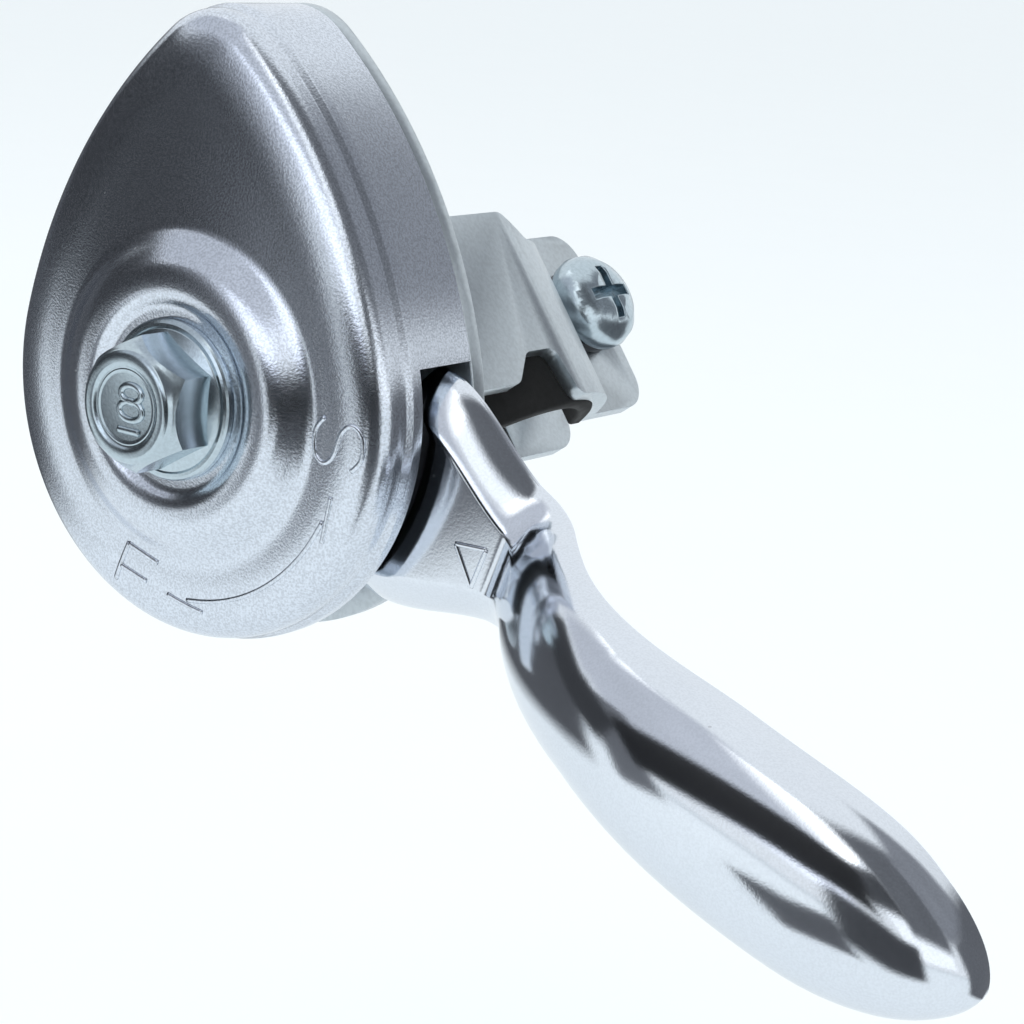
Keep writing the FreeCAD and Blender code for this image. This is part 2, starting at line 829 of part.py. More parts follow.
def lever_section(reach):
    """Closed section of the sheet across the lever: two sides, two rounded corners and a front between them."""
    half = max(lever_half_width(reach), lever_sheet + nose_gap)
    bend, low = lever_corner(reach, half)
    depth = max(lever_depth(reach), low + 0.5)
    slope = lever_slope(reach)
    lost = 0.8 * nose_fall(reach) * handle_corner_depth
    front = Vector(reach, lever_crest(reach) + lost, 0)
    into = Vector(-math.sin(slope), math.cos(slope), 0)

    def at(across, deep):
        place = front + into * deep
        return Vector(place.x, place.y, across)

    def side_path(inset):
        outside = half - inset
        give = (bend - inset) * (1 - math.sqrt(0.5))
        drop = (low - inset) * (1 - math.sqrt(0.5))
        right = [
            (outside - bend + inset, inset),
            (outside - give, inset + drop),
            (outside, low),
            (outside, depth),
        ]
        return [(-across, deep) for across, deep in reversed(right)] + right

    outer = [at(across, deep) for across, deep in side_path(0)]
    inner = [at(across, deep) for across, deep in side_path(lever_sheet)]
    edges = []
    for path in (outer, inner[::-1]):
        edges.append(Part.makeLine(path[0], path[1]))
        edges.append(Part.Arc(path[1], path[2], path[3]).toShape())
        edges.append(Part.makeLine(path[3], path[4]))
        edges.append(Part.Arc(path[4], path[5], path[6]).toShape())
        edges.append(Part.makeLine(path[6], path[7]))
        if path is outer:
            edges.append(Part.makeLine(outer[-1], inner[-1]))
    edges.append(Part.makeLine(inner[0], outer[0]))
    return Part.Wire(edges)


def lever_stations():
    """Distances of the lever's sections, closer together at the crease and at the nose."""
    crease = neck_reach - crease_lead
    first = crease - crease_round
    last = crease + crease_round
    nose = lever_reach - nose_length
    stations = [loft_start + (first - loft_start) * index / 3 for index in range(4)]
    stations += [crease - 0.3 * crease_round, crease + 0.3 * crease_round]
    stations += [last + (nose - last) * index / 9 for index in range(10)]
    stations += [nose + nose_length * math.sin(math.pi / 8 * index) for index in range(1, 5)]
    return stations


def lever_channel():
    """Ruled loft of the lever's sheet, from inside the hub's rim to the nose."""
    return Part.makeLoft([lever_section(reach) for reach in lever_stations()], True, True)


def lever_arm():
    """One pressing: hub, fan-shaped blade, forward bend and hollow handle."""
    hub = disc(hub_radius, web_front, web_back, bush_radius + bush_clearance)
    arm = turn_about_pivot(lever_channel().fuse(hub), lever_rest)
    for spot in drum_rivet_spots():
        arm = arm.cut(rivet_hole(spot, rivet_radius))
    return solid_of(arm)


PARTS = {
    "cover": cover,
    "base_plate": base_plate,
    "clamp_strap": clamp_strap,
    "clamp_liner": clamp_liner,
    "bracket_rivets": bracket_rivets,
    "clamp_screw": clamp_screw,
    "clamp_spring_washer": clamp_spring_washer,
    "clamp_nut": clamp_nut,
    "pivot_bolt": pivot_bolt,
    "lock_nut": lock_nut,
    "lock_nut_insert": lock_nut_insert,
    "rear_washer": rear_washer,
    "pivot_bush": pivot_bush,
    "disc_springs": disc_springs,
    "pressure_washer": pressure_washer,
    "thrust_washer": thrust_washer,
    "friction_disc_front": friction_disc_front,
    "friction_disc_rear": friction_disc_rear,
    "cable_drum": cable_drum,
    "drum_rivets": drum_rivets,
    "lever_arm": lever_arm,
}


def main():
    os.makedirs("parts", exist_ok=True)
    for name, build in PARTS.items():
        made = build()
        shape = Part.makeCompound(made) if isinstance(made, list) else made
        placed = shape.copy()
        placed.translate(Vector(0, -face_back, 0))
        placed.exportStep(os.path.join("parts", name + ".step"))
        box = placed.BoundBox
        print(name, placed.isValid(), len(placed.Solids), round(placed.Volume, 1),
              [round(v, 1) for v in (box.XMin, box.XMax, box.YMin, box.YMax, box.ZMin, box.ZMax)])


main()
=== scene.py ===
"""Dresses the throttle lever: remodels the pieces that show and gives every piece its finish."""

import json
import math

import bmesh
import bpy
from mathutils import Matrix, Vector


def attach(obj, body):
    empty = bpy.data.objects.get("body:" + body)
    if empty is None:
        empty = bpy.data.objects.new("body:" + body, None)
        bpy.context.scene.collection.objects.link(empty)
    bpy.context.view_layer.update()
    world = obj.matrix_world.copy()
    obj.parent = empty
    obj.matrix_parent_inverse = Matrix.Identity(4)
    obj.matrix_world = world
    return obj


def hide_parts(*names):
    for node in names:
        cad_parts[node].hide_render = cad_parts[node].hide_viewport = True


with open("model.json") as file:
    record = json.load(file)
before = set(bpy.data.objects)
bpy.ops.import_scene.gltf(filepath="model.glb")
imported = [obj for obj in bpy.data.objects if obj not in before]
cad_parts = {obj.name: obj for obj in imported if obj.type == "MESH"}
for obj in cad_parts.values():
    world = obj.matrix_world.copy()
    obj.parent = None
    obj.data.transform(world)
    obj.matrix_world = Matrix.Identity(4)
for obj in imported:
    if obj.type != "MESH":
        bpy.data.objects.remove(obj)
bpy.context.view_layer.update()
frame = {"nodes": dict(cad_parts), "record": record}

bl_info = {
    "name": "Throttle Lever",
    "version": (1, 0, 0),
    "blender": (4, 5, 0),
    "location": "3D View > Sidebar > Throttle Lever",
    "description": "Models and finishes a clamp-on throttle lever",
    "category": "Add Mesh",
}

MM = 0.001
FACE_BACK = 34.4 * MM
PIVOT = (0.0, 0.0, 0.0)


# Sizes

def length(name, description, default):
    """A length in metres, shown in the scene's units."""
    return bpy.props.FloatProperty(
        name=name, description=description, default=default, unit="LENGTH", precision=4
    )


def colour(name, description, default):
    """A linear colour."""
    return bpy.props.FloatVectorProperty(
        name=name, description=description, default=default, subtype="COLOR", size=3,
        min=0.0, max=1.0
    )



class ThrottleCoverSizes(bpy.types.PropertyGroup):
    """Sizes of the pressed cover."""

    radius: length("Round radius", "Radius of the cover's round end", 20.8 * MM)
    flank_radius: length("Flank radius", "Radius of the two long flanks", 47.2 * MM)
    tip_radius: length("Tip radius", "Radius of the narrow tip", 7.0 * MM)
    depth: length("Depth", "From the flat face back to the rim", 11.9 * MM)
    sheet: length("Sheet", "Thickness of the cover's sheet", 1.2 * MM)
    edge_round: length("Edge round", "Radius where the face turns into the wall", 2.3 * MM)
    fall_width: length("Fall width", "Where inside the edge the face begins to fall", 5.2 * MM)
    flare: length("Flare", "How far the wall steps out near its rim", 0.39 * MM)
    flare_start: length("Flare start", "Where the wall begins to step out", 3.6 * MM)
    dome_crest: length("Dome crest", "Radius of the dome's crest", 10.2 * MM)
    dome_height: length("Dome height", "Height of the dome's crest above the face", 2.0 * MM)
    seat_radius: length("Seat radius", "Radius of the flat seat sunk in the dome", 7.9 * MM)
    seat_depth: length("Seat depth", "How far the seat lies below the crest", 0.7 * MM)
    window_depth: length("Window depth", "Where the window in the wall begins", 5.2 * MM)
    mark_height: length("Mark height", "How far the S, F and arrow stand proud", 0.13 * MM)


class ThrottleLeverSizes(bpy.types.PropertyGroup):
    """Sizes of the lever's pressing."""

    reach: length("Reach", "From the pivot to the nose", 83.6 * MM)
    sheet: length("Sheet", "Thickness of the lever's sheet", 1.6 * MM)
    hub_radius: length("Hub radius", "Radius of the hub inside the cover", 17.0 * MM)
    blade_half_width: length("Blade half width", "Half the blade's width at the cover", 10.6 * MM)
    neck_half_width: length("Neck half width", "Half the width at the neck", 6.0 * MM)
    handle_half_width: length("Handle half width", "Half the handle's width", 7.06 * MM)
    handle_rise: length("Handle rise", "How far the handle steps forward of the blade", 16.4 * MM)
    rest_turn: bpy.props.FloatProperty(
        name="Rest turn", subtype="ANGLE", default=math.radians(-19.5),
        description="Turn of the lever's centre line at rest, from right towards up"
    )


class ThrottleFinishes(bpy.types.PropertyGroup):
    """Colours of the finishes."""

    cover: colour("Cover plating", "Satin plating of the pressed cover", (0.78, 0.83, 0.91))
    lever: colour("Lever plating", "Bright plating of the lever", (0.80, 0.84, 0.90))
    strap: colour("Strap plating", "Zinc plating of strap and base plate", (0.66, 0.72, 0.76))
    fastener: colour("Fastener plating", "Zinc plating of bolt, nuts and screw", (0.60, 0.70, 0.76))
    spring: colour("Spring steel", "Oiled spring steel", (0.20, 0.20, 0.21))
    fibre: colour("Fibre", "Black friction fibre", (0.012, 0.012, 0.013))
    rubber: colour("Rubber", "Sleeve between the tube and the strap", (0.006, 0.006, 0.006))
    drum: colour("Drum casting", "Cable drum, as cast", (0.55, 0.55, 0.57))
    nylon: colour("Nylon", "Insert of the lock nut", (0.70, 0.74, 0.78))
    floor: colour("Floor", "Pale plain floor", (0.86, 0.89, 0.90))


# Mesh helpers

def place(x, behind_face, z):
    """A point in the frame from its place behind the cover's flat face."""
    return Vector((x, behind_face - FACE_BACK, z))


def add_piece(name, bm, body, slot, material, *replaced):
    """Make a bmesh into a piece that rides on a body."""
    mesh = bpy.data.meshes.new(name)
    bm.to_mesh(mesh)
    bm.free()
    mesh.shade_smooth()
    piece = bpy.data.objects.new(name, mesh)
    bpy.context.scene.collection.objects.link(piece)
    mesh.materials.append(bpy.data.materials[material])
    if replaced:
        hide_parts(*replaced)
    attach(piece, body)
    return piece


def thicken(piece, sheet, even=True):
    """Give a surface its sheet thickness on the side away from its normals."""
    modifier = piece.modifiers.new("Sheet", "SOLIDIFY")
    modifier.thickness = sheet
    modifier.offset = -1.0
    modifier.use_even_offset = even


def break_edges(piece, width, angle=35.0, segments=2):
    """Round every edge that turns more than an angle."""
    modifier = piece.modifiers.new("Edges", "BEVEL")
    modifier.width = width
    modifier.segments = segments
    modifier.limit_method = "ANGLE"
    modifier.angle_limit = math.radians(angle)
    modifier.harden_normals = True


def outward(bm):
    """Merge doubles and turn every face outwards."""
    bmesh.ops.remove_doubles(bm, verts=bm.verts, dist=1e-6)
    bmesh.ops.recalc_face_normals(bm, faces=bm.faces)


def first_ring(bm, count):
    """Start a mesh from a circle and return its vertices in order."""
    made = bmesh.ops.create_circle(bm, segments=count, radius=1.0)["verts"]
    return sorted(made, key=lambda v: math.atan2(v.co.y, v.co.x) % (2 * math.pi))


def ring_edges(bm, ring):
    """The edges of a closed ring, in order."""
    return [bm.edges.get((ring[i - 1], ring[i])) for i in range(len(ring))]


def next_ring(bm, ring):
    """Extrude a closed ring and return the new ring in the same order."""
    made = bmesh.ops.extrude_edge_only(bm, edges=ring_edges(bm, ring))["geom"]
    fresh = {v for v in made if isinstance(v, bmesh.types.BMVert)}
    return [next(e.other_vert(v) for e in v.link_edges if e.other_vert(v) in fresh) for v in ring]


def rings_to_mesh(bm, stations, closed_start=False, closed_end=False):
    """Extrude one ring per station, where a station is a list of points round the piece."""
    ring = first_ring(bm, len(stations[0]))
    start = ring
    for number, points in enumerate(stations):
        if number:
            ring = next_ring(bm, ring)
        for vert, point in zip(ring, points):
            vert.co = point
    for closed, end_ring in ((closed_start, start), (closed_end, ring)):
        if closed:
            bmesh.ops.contextual_create(bm, geom=ring_edges(bm, end_ring))


def turned_rings(profile, count, start=0.0):
    """Rings about the pivot for radii and places behind a start, both in millimetres."""
    turns = [2 * math.pi * i / count for i in range(count)]
    return [[place(r * MM * math.cos(t), start + y * MM, r * MM * math.sin(t)) for t in turns]
            for r, y in profile]


def in_millimetres(points):
    """Points given in millimetres, in metres."""
    return [(x * MM, z * MM) for x, z in points]


def eased(start, end, share):
    """A smooth step from one value to another."""
    share = min(1.0, max(0.0, share))
    return start + (end - start) * share * share * (3 - 2 * share)


def copy_of_node(node, name, edge, material, angle):
    """Copy a fixed frame node, merge it, dissolve its flat triangles and break its edges."""
    source = frame["nodes"][node]
    bm = bmesh.new()
    bm.from_mesh(source.data)
    bmesh.ops.remove_doubles(bm, verts=bm.verts, dist=2e-6)
    bmesh.ops.dissolve_limit(bm, angle_limit=math.radians(1.0), verts=bm.verts, edges=bm.edges)
    slots = {row["node"]: row["material_slot"] for row in frame["record"]["subparts"]}
    piece = add_piece(name, bm, "housing", slots[node], material, node)
    break_edges(piece, edge, angle)
    return piece


# Finishes

def link(tree, source, target):
    """Join two sockets."""
    tree.links.new(source, target)


def add_node(tree, kind, **inputs):
    """Add a node and set its named inputs."""
    made = tree.nodes.new(kind)
    for key, value in inputs.items():
        made.inputs[key.replace("_", " ")].default_value = value
    return made


def noise(tree, vector, scale, detail=3.0, rough=0.55):
    """A noise texture on given coordinates."""
    made = add_node(tree, "ShaderNodeTexNoise", Scale=scale, Detail=detail, Roughness=rough)
    link(tree, vector, made.inputs["Vector"])
    return made.outputs["Fac"]


def ramp(tree, value, low, high, out_low=0.0, out_high=1.0):
    """Map one span of a value to another."""
    made = tree.nodes.new("ShaderNodeMapRange")
    made.inputs["From Min"].default_value = low
    made.inputs["From Max"].default_value = high
    made.inputs["To Min"].default_value = out_low
    made.inputs["To Max"].default_value = out_high
    link(tree, value, made.inputs["Value"])
    return made.outputs["Result"]


def combine(tree, operation, first, second):
    """Join two values with one operation."""
    made = tree.nodes.new("ShaderNodeMath")
    made.operation = operation
    for socket, value in zip(made.inputs, (first, second)):
        if isinstance(value, (int, float)):
            socket.default_value = value
        else:
            link(tree, value, socket)
    return made.outputs[0]


def group_socket(group, name, way, kind, default=None):
    """Add one named socket to a node group."""
    made = group.interface.new_socket(name=name, in_out=way, socket_type=kind)
    if default is not None:
        made.default_value = default
    return made


CLOUD_SPAN = 0.3125
SPECK_ROUGHNESS = 0.25
SPECK_SHARE = 0.35
SPECK_TONE = (0.35, 0.34, 0.34)

# The plating group's inputs, in the order in which each row of PLATINGS gives them
PLATING_INPUTS = ("Gloss Low", "Gloss High", "Grain Scale", "Peel Scale", "Peel", "Clouding",
                  "Speckle")

# Material, tone, the inputs above, the bump's strength and distance, and the specks' size
PLATINGS = (
    ("cover_plating", "cover", (0.15, 0.2, 5200, 900, 0.04, 0.08, 0.22), 0.4, 0.03 * MM, 0.06),
    ("lever_plating", "lever", (0.07, 0.11, 5200, 400, 0.05, 0.08, 0.06), 0.1, 0.03 * MM, 0.05),
    ("strap_plating", "strap", (0.22, 0.36, 2600, 500, 0.8, 0.25, 0.08), 0.35, 0.03 * MM, 0.0),
    ("fastener_plating", "fastener", (0.12, 0.22, 3600, 900, 0.6, 0.2, 0.08), 0.25, 0.02 * MM, 0.0),
    ("spring_plating", "spring", (0.25, 0.4, 3000, 600, 0.6, 0.3, 0.08), 0.3, 0.02 * MM, 0.0),
    ("drum_casting", "drum", (0.35, 0.5, 1800, 500, 1.0, 0.3, 0.08), 0.5, 0.05 * MM, 0.0),
)

# Material, tone, lowest and highest roughness, grain scale and bump strength
DULL_FINISHES = (
    ("friction_fibre", "fibre", 0.6, 0.85, 2500, 0.6),
    ("liner_rubber", "rubber", 0.7, 0.9, 1800, 0.4),
    ("insert_nylon", "nylon", 0.3, 0.45, 1500, 0.15),
)

SLOT_MATERIALS = {
    "cover_steel": "cover_plating",
    "lever_chrome": "lever_plating",
    "plated_steel": "strap_plating",
    "fastener_steel": "fastener_plating",
    "spring_steel": "spring_plating",
    "drum_metal": "drum_casting",
    "fibre": "friction_fibre",
    "rubber": "liner_rubber",
    "nylon": "insert_nylon",
}


def build_plating_group():
    """Plated pressed steel: fine grain, orange peel, speckles and clouded tone and gloss."""
    group = bpy.data.node_groups.new("plating", "ShaderNodeTree")
    group_socket(group, "Vector", "INPUT", "NodeSocketVector")
    group_socket(group, "Tone", "INPUT", "NodeSocketColor", (0.6, 0.6, 0.6, 1.0))
    for name, default in (("Grain Scale", 3000.0), ("Peel Scale", 500.0), ("Peel", 0.5),
                          ("Gloss Low", 0.15), ("Gloss High", 0.3), ("Clouding", 0.15),
                          ("Speckle", 0.1)):
        group_socket(group, name, "INPUT", "NodeSocketFloat", default)
    group_socket(group, "Color", "OUTPUT", "NodeSocketColor")
    group_socket(group, "Roughness", "OUTPUT", "NodeSocketFloat")
    group_socket(group, "Height", "OUTPUT", "NodeSocketFloat")
    entry = group.nodes.new("NodeGroupInput")
    leave = group.nodes.new("NodeGroupOutput")
    vector = entry.outputs["Vector"]
    grain = group.nodes.new("ShaderNodeTexNoise")
    grain.inputs["Detail"].default_value = 2.0
    link(group, vector, grain.inputs["Vector"])
    link(group, entry.outputs["Grain Scale"], grain.inputs["Scale"])
    peel = group.nodes.new("ShaderNodeTexNoise")
    peel.inputs["Detail"].default_value = 1.5
    link(group, vector, peel.inputs["Vector"])
    link(group, entry.outputs["Peel Scale"], peel.inputs["Scale"])
    cloud = noise(group, vector, 90.0, 4.0, 0.6)
    height = combine(group, "ADD", grain.outputs["Fac"],
                     combine(group, "MULTIPLY", peel.outputs["Fac"], entry.outputs["Peel"]))
    link(group, height, leave.inputs["Height"])
    gloss = group.nodes.new("ShaderNodeMapRange")
    link(group, cloud, gloss.inputs["Value"])
    gloss.inputs["From Min"].default_value = -CLOUD_SPAN
    gloss.inputs["From Max"].default_value = CLOUD_SPAN
    link(group, entry.outputs["Gloss Low"], gloss.inputs["To Min"])
    link(group, entry.outputs["Gloss High"], gloss.inputs["To Max"])
    link(group, gloss.outputs["Result"], leave.inputs["Roughness"])
    dots = combine(group, "MULTIPLY", ramp(group, grain.outputs["Fac"], 0.4, 0.62),
                   entry.outputs["Speckle"])
    clouds = combine(group, "MULTIPLY", cloud, entry.outputs["Clouding"])
    shade = combine(group, "SUBTRACT", combine(group, "SUBTRACT", 1.0, clouds), dots)
    tint = group.nodes.new("ShaderNodeVectorMath")
    tint.operation = "SCALE"
    link(group, entry.outputs["Tone"], tint.inputs[0])
    link(group, shade, tint.inputs["Scale"])
    link(group, tint.outputs["Vector"], leave.inputs["Color"])
    return group


def build_dust_group():
    """Fine specks scattered on a surface."""
    group = bpy.data.node_groups.new("specks", "ShaderNodeTree")
    group_socket(group, "Vector", "INPUT", "NodeSocketVector")
    group_socket(group, "Scale", "INPUT", "NodeSocketFloat", 400.0)
    group_socket(group, "Size", "INPUT", "NodeSocketFloat", 0.12)
    group_socket(group, "Mask", "OUTPUT", "NodeSocketFloat")
    entry = group.nodes.new("NodeGroupInput")
    leave = group.nodes.new("NodeGroupOutput")
    cells = group.nodes.new("ShaderNodeTexVoronoi")
    link(group, entry.outputs["Vector"], cells.inputs["Vector"])
    link(group, entry.outputs["Scale"], cells.inputs["Scale"])
    mask = combine(group, "LESS_THAN", cells.outputs["Distance"], entry.outputs["Size"])
    thin = noise(group, entry.outputs["Vector"], 130.0)
    patch = combine(group, "GREATER_THAN", thin, 0.56)
    link(group, combine(group, "MULTIPLY", mask, patch), leave.inputs["Mask"])
    return group


def new_material(name):
    """A node material with its coordinates and shader at hand."""
    material = bpy.data.materials.new(name)
    material.use_nodes = True
    tree = material.node_tree
    shader = tree.nodes["Principled BSDF"]
    coords = tree.nodes.new("ShaderNodeTexCoord").outputs["Object"]
    return material, tree, shader, coords


def bump(tree, shader, height, strength, distance):
    """Feed a height to the shader's normal."""
    made = add_node(tree, "ShaderNodeBump", Strength=strength, Distance=distance)
    link(tree, height, made.inputs["Height"])
    link(tree, made.outputs["Normal"], shader.inputs["Normal"])


def plated_material(name, tone, settings, strength, distance, specks):
    """A plated steel finish made from the shared groups."""
    material, tree, shader, coords = new_material(name)
    shader.inputs["Metallic"].default_value = 1.0
    plating = tree.nodes.new("ShaderNodeGroup")
    plating.node_tree = bpy.data.node_groups["plating"]
    link(tree, coords, plating.inputs["Vector"])
    plating.inputs["Tone"].default_value = (*tone, 1.0)
    for key, value in zip(PLATING_INPUTS, settings):
        plating.inputs[key].default_value = value
    colour_out = plating.outputs["Color"]
    rough_out = plating.outputs["Roughness"]
    if specks > 0:
        dust = tree.nodes.new("ShaderNodeGroup")
        dust.node_tree = bpy.data.node_groups["specks"]
        link(tree, coords, dust.inputs["Vector"])
        dust.inputs["Size"].default_value = specks
        rougher = combine(tree, "MULTIPLY", dust.outputs["Mask"], SPECK_ROUGHNESS)
        rough_out = combine(tree, "ADD", rough_out, rougher)
        darker = tree.nodes.new("ShaderNodeMix")
        darker.data_type = "RGBA"
        share = combine(tree, "MULTIPLY", dust.outputs["Mask"], SPECK_SHARE)
        link(tree, share, darker.inputs["Factor"])
        link(tree, colour_out, darker.inputs["A"])
        darker.inputs["B"].default_value = (*SPECK_TONE, 1.0)
        colour_out = darker.outputs["Result"]
    link(tree, colour_out, shader.inputs["Base Color"])
    link(tree, rough_out, shader.inputs["Roughness"])
    bump(tree, shader, plating.outputs["Height"], strength, distance)
    return material


def dull_material(name, tone, rough_low, rough_high, scale, strength):
    """A plain moulded or pressed finish with fine grain."""
    material, tree, shader, coords = new_material(name)
    grain = noise(tree, coords, scale, 4.0, 0.65)
    patch = noise(tree, coords, scale * 0.12, 3.0)
    link(tree, ramp(tree, patch, 0.3, 0.7, rough_low, rough_high), shader.inputs["Roughness"])
    mix = tree.nodes.new("ShaderNodeMix")
    mix.data_type = "RGBA"
    link(tree, ramp(tree, grain, 0.35, 0.7), mix.inputs["Factor"])
    mix.inputs["A"].default_value = (*[c * 0.75 for c in tone], 1.0)
    mix.inputs["B"].default_value = (*[min(1.0, c * 1.25) for c in tone], 1.0)
    link(tree, mix.outputs["Result"], shader.inputs["Base Color"])
    bump(tree, shader, grain, strength, 0.1 * MM)
    return material


class THROTTLE_OT_finishes(bpy.types.Operator):
    """Make the finishes and put them on the nodes that keep their own shape"""

    bl_idname = "throttle.finishes"
    bl_label = "Make Finishes"

    def execute(self, context):
        tones = context.scene.throttle_finishes
        build_plating_group()
        build_dust_group()
        for name, tone, settings, strength, distance, specks in PLATINGS:
            plated_material(name, getattr(tones, tone), settings, strength, distance, specks)
        for name, tone, rough_low, rough_high, scale, strength in DULL_FINISHES:
            dull_material(name, getattr(tones, tone), rough_low, rough_high, scale, strength)
        for row in frame["record"]["subparts"]:
            obj = frame["nodes"][row["node"]]
            obj.data.materials.clear()
            obj.data.materials.append(bpy.data.materials[SLOT_MATERIALS[row["material_slot"]]])
        return {"FINISHED"}


# Cover

FLANK_START = math.radians(13.0)
FLANK_STEPS = 44
TIP_STEPS = 28
ROUND_STEPS = 124

# How steeply the face falls away where the edge round starts
EDGE_FALL = math.radians(12.0)
FALL_STEPS = 7
EDGE_STEPS = 10

BOLT_HOLE = 3.1 * MM
SEAT_MIDDLE = 5.5 * MM

# Millimetres past the seat's radius, and in front of the seat
SEAT_WALL = ((-0.5, 0.0), (-0.15, 0.06), (0.1, 0.2), (0.4, 0.42), (0.7, 0.58), (1.1, 0.67),
             (1.5, 0.7))

# Millimetres past the crest's radius, and behind the crest
DOME_FALL = ((0.0, 0.02), (0.6, 0.1), (1.1, 0.25), (1.6, 0.48), (2.1, 0.8), (2.6, 1.18),
             (3.1, 1.54), (3.5, 1.78), (3.9, 1.93), (4.4, 2.0))

WALL_TOP = 2.8 * MM
STEP_LEAD = 0.25 * MM
STEP_ROUND = 0.04 * MM
STEP_RISE = 0.45 * MM
STEP_LENGTH = 0.7 * MM
WALL_SHARES = (0.2, 0.4, 0.6, 0.8, 0.95)

WINDOW_UPPER = math.radians(14.1)
WINDOW_LOWER = math.radians(-126.7)


def outline_arcs(cover):
    """Centre, radius, start and end turn and number of steps of the outline's four arcs."""
    start = FLANK_START
    offset = cover.flank_radius - cover.radius
    centre = Vector((-offset * math.cos(start), -offset * math.sin(start)))
    span = cover.flank_radius - cover.tip_radius
    tip = centre.y + math.sqrt(span ** 2 - centre.x ** 2)
    end = math.atan2(tip - centre.y, -centre.x)
    return [
        (centre, cover.flank_radius, start, end, FLANK_STEPS),
        (Vector((0, tip)), cover.tip_radius, end, math.pi - end, TIP_STEPS),
        (Vector((-centre.x, centre.y)), cover.flank_radius, math.pi - end, math.pi - start,
         FLANK_STEPS),
        (Vector((0, 0)), cover.radius, math.pi - start, 2 * math.pi + start, ROUND_STEPS),
    ]


def outline_stations(cover):
    """Points of the outline with their outward directions, in order round the cover."""
    stations = []
    for centre, radius, start, end, count in outline_arcs(cover):
        for step in range(count):
            turn = start + (end - start) * step / count
            direction = Vector((math.cos(turn), math.sin(turn)))
            stations.append((centre + direction * radius, direction))
    return stations


def face_fall(cover, amount):
    """How far the face has fallen at a distance inside the edge, before the edge round starts."""
    width = cover.fall_width - cover.edge_round * (1 - math.sin(EDGE_FALL))
    past = max(0.0, min(width, cover.fall_width - amount))
    return math.tan(EDGE_FALL) * past ** 2 / (2 * width)


def cover_stations(cover):
    """Every ring of the cover's outer surface, from the bolt's hole to the rim."""
    edge = outline_stations(cover)
    polar = [point.normalized() for point, _ in edge]
    seat = cover.seat_depth - cover.dome_height
    crest = -cover.dome_height
    rings = []

    def circle(radius, behind):
        rings.append([place(d.x * radius, behind, d.y * radius) for d in polar])

    def inset(amount, behind):
        rings.append([place(p.x - d.x * amount, behind, p.y - d.y * amount) for p, d in edge])

    circle(BOLT_HOLE, seat)
    circle(SEAT_MIDDLE, seat)
    for past, rise in SEAT_WALL:
        circle(cover.seat_radius + past * MM, seat - rise * MM)
    for past, drop in DOME_FALL:
        circle(cover.dome_crest + past * MM, crest + drop * MM)
    inset(cover.fall_width + 0.4 * MM, 0.0)
    round_start = cover.edge_round * (1 - math.sin(EDGE_FALL))
    for step in range(FALL_STEPS):
        amount = cover.fall_width + (round_start - cover.fall_width) * step / FALL_STEPS
        inset(amount, face_fall(cover, amount))
    deepest = face_fall(cover, round_start) + cover.edge_round * math.cos(EDGE_FALL)
    for step in range(EDGE_STEPS + 1):
        angle = EDGE_FALL + (math.pi / 2 - EDGE_FALL) * step / EDGE_STEPS
        amount = cover.edge_round * (1 - math.sin(angle))
        inset(amount, deepest - cover.edge_round * math.cos(angle))
    inset(0.0, WALL_TOP)
    inset(0.0, cover.flare_start - STEP_LEAD)
    inset(-STEP_ROUND, cover.flare_start)
    inset(STEP_ROUND - cover.flare, cover.flare_start + STEP_RISE)
    inset(-cover.flare, cover.flare_start + STEP_LENGTH)
    inset(-cover.flare, cover.window_depth)
    for share in WALL_SHARES:
        inset(-cover.flare, cover.window_depth + (cover.depth - cover.window_depth) * share)
    inset(-cover.flare, cover.depth)
    return rings


def in_window(point, cover):
    """Whether a point of the wall lies in the window that the lever swings through."""
    behind = point.y + FACE_BACK
    turn = math.atan2(point.z, point.x)
    return behind > cover.window_depth and WINDOW_LOWER < turn < WINDOW_UPPER


class THROTTLE_OT_cover(bpy.types.Operator):
    """Press the cover: dome, edge round, stepped wall and window"""

    bl_idname = "throttle.cover"
    bl_label = "Model Cover"

    def execute(self, context):
        cover = context.scene.throttle_cover
        bm = bmesh.new()
        rings_to_mesh(bm, cover_stations(cover))
        for turn in (WINDOW_UPPER, WINDOW_LOWER):
            side = Vector((-math.sin(turn), 0, math.cos(turn)))
            everything = bm.verts[:] + bm.edges[:] + bm.faces[:]
            bmesh.ops.bisect_plane(bm, geom=everything, plane_co=PIVOT, plane_no=side, dist=1e-7)
        gone = [face for face in bm.faces if in_window(face.calc_center_median(), cover)]
        bmesh.ops.delete(bm, geom=gone, context="FACES")
        outward(bm)
        if sum(f.normal.y for f in bm.faces if abs(f.normal.y) > 0.99) > 0:
            bmesh.ops.reverse_faces(bm, faces=bm.faces)
        piece = add_piece("cover_pressing", bm, "housing", "cover_steel", "cover_plating", "cover")
        thicken(piece, cover.sheet)
        break_edges(piece, 0.16 * MM)
        return {"FINISHED"}


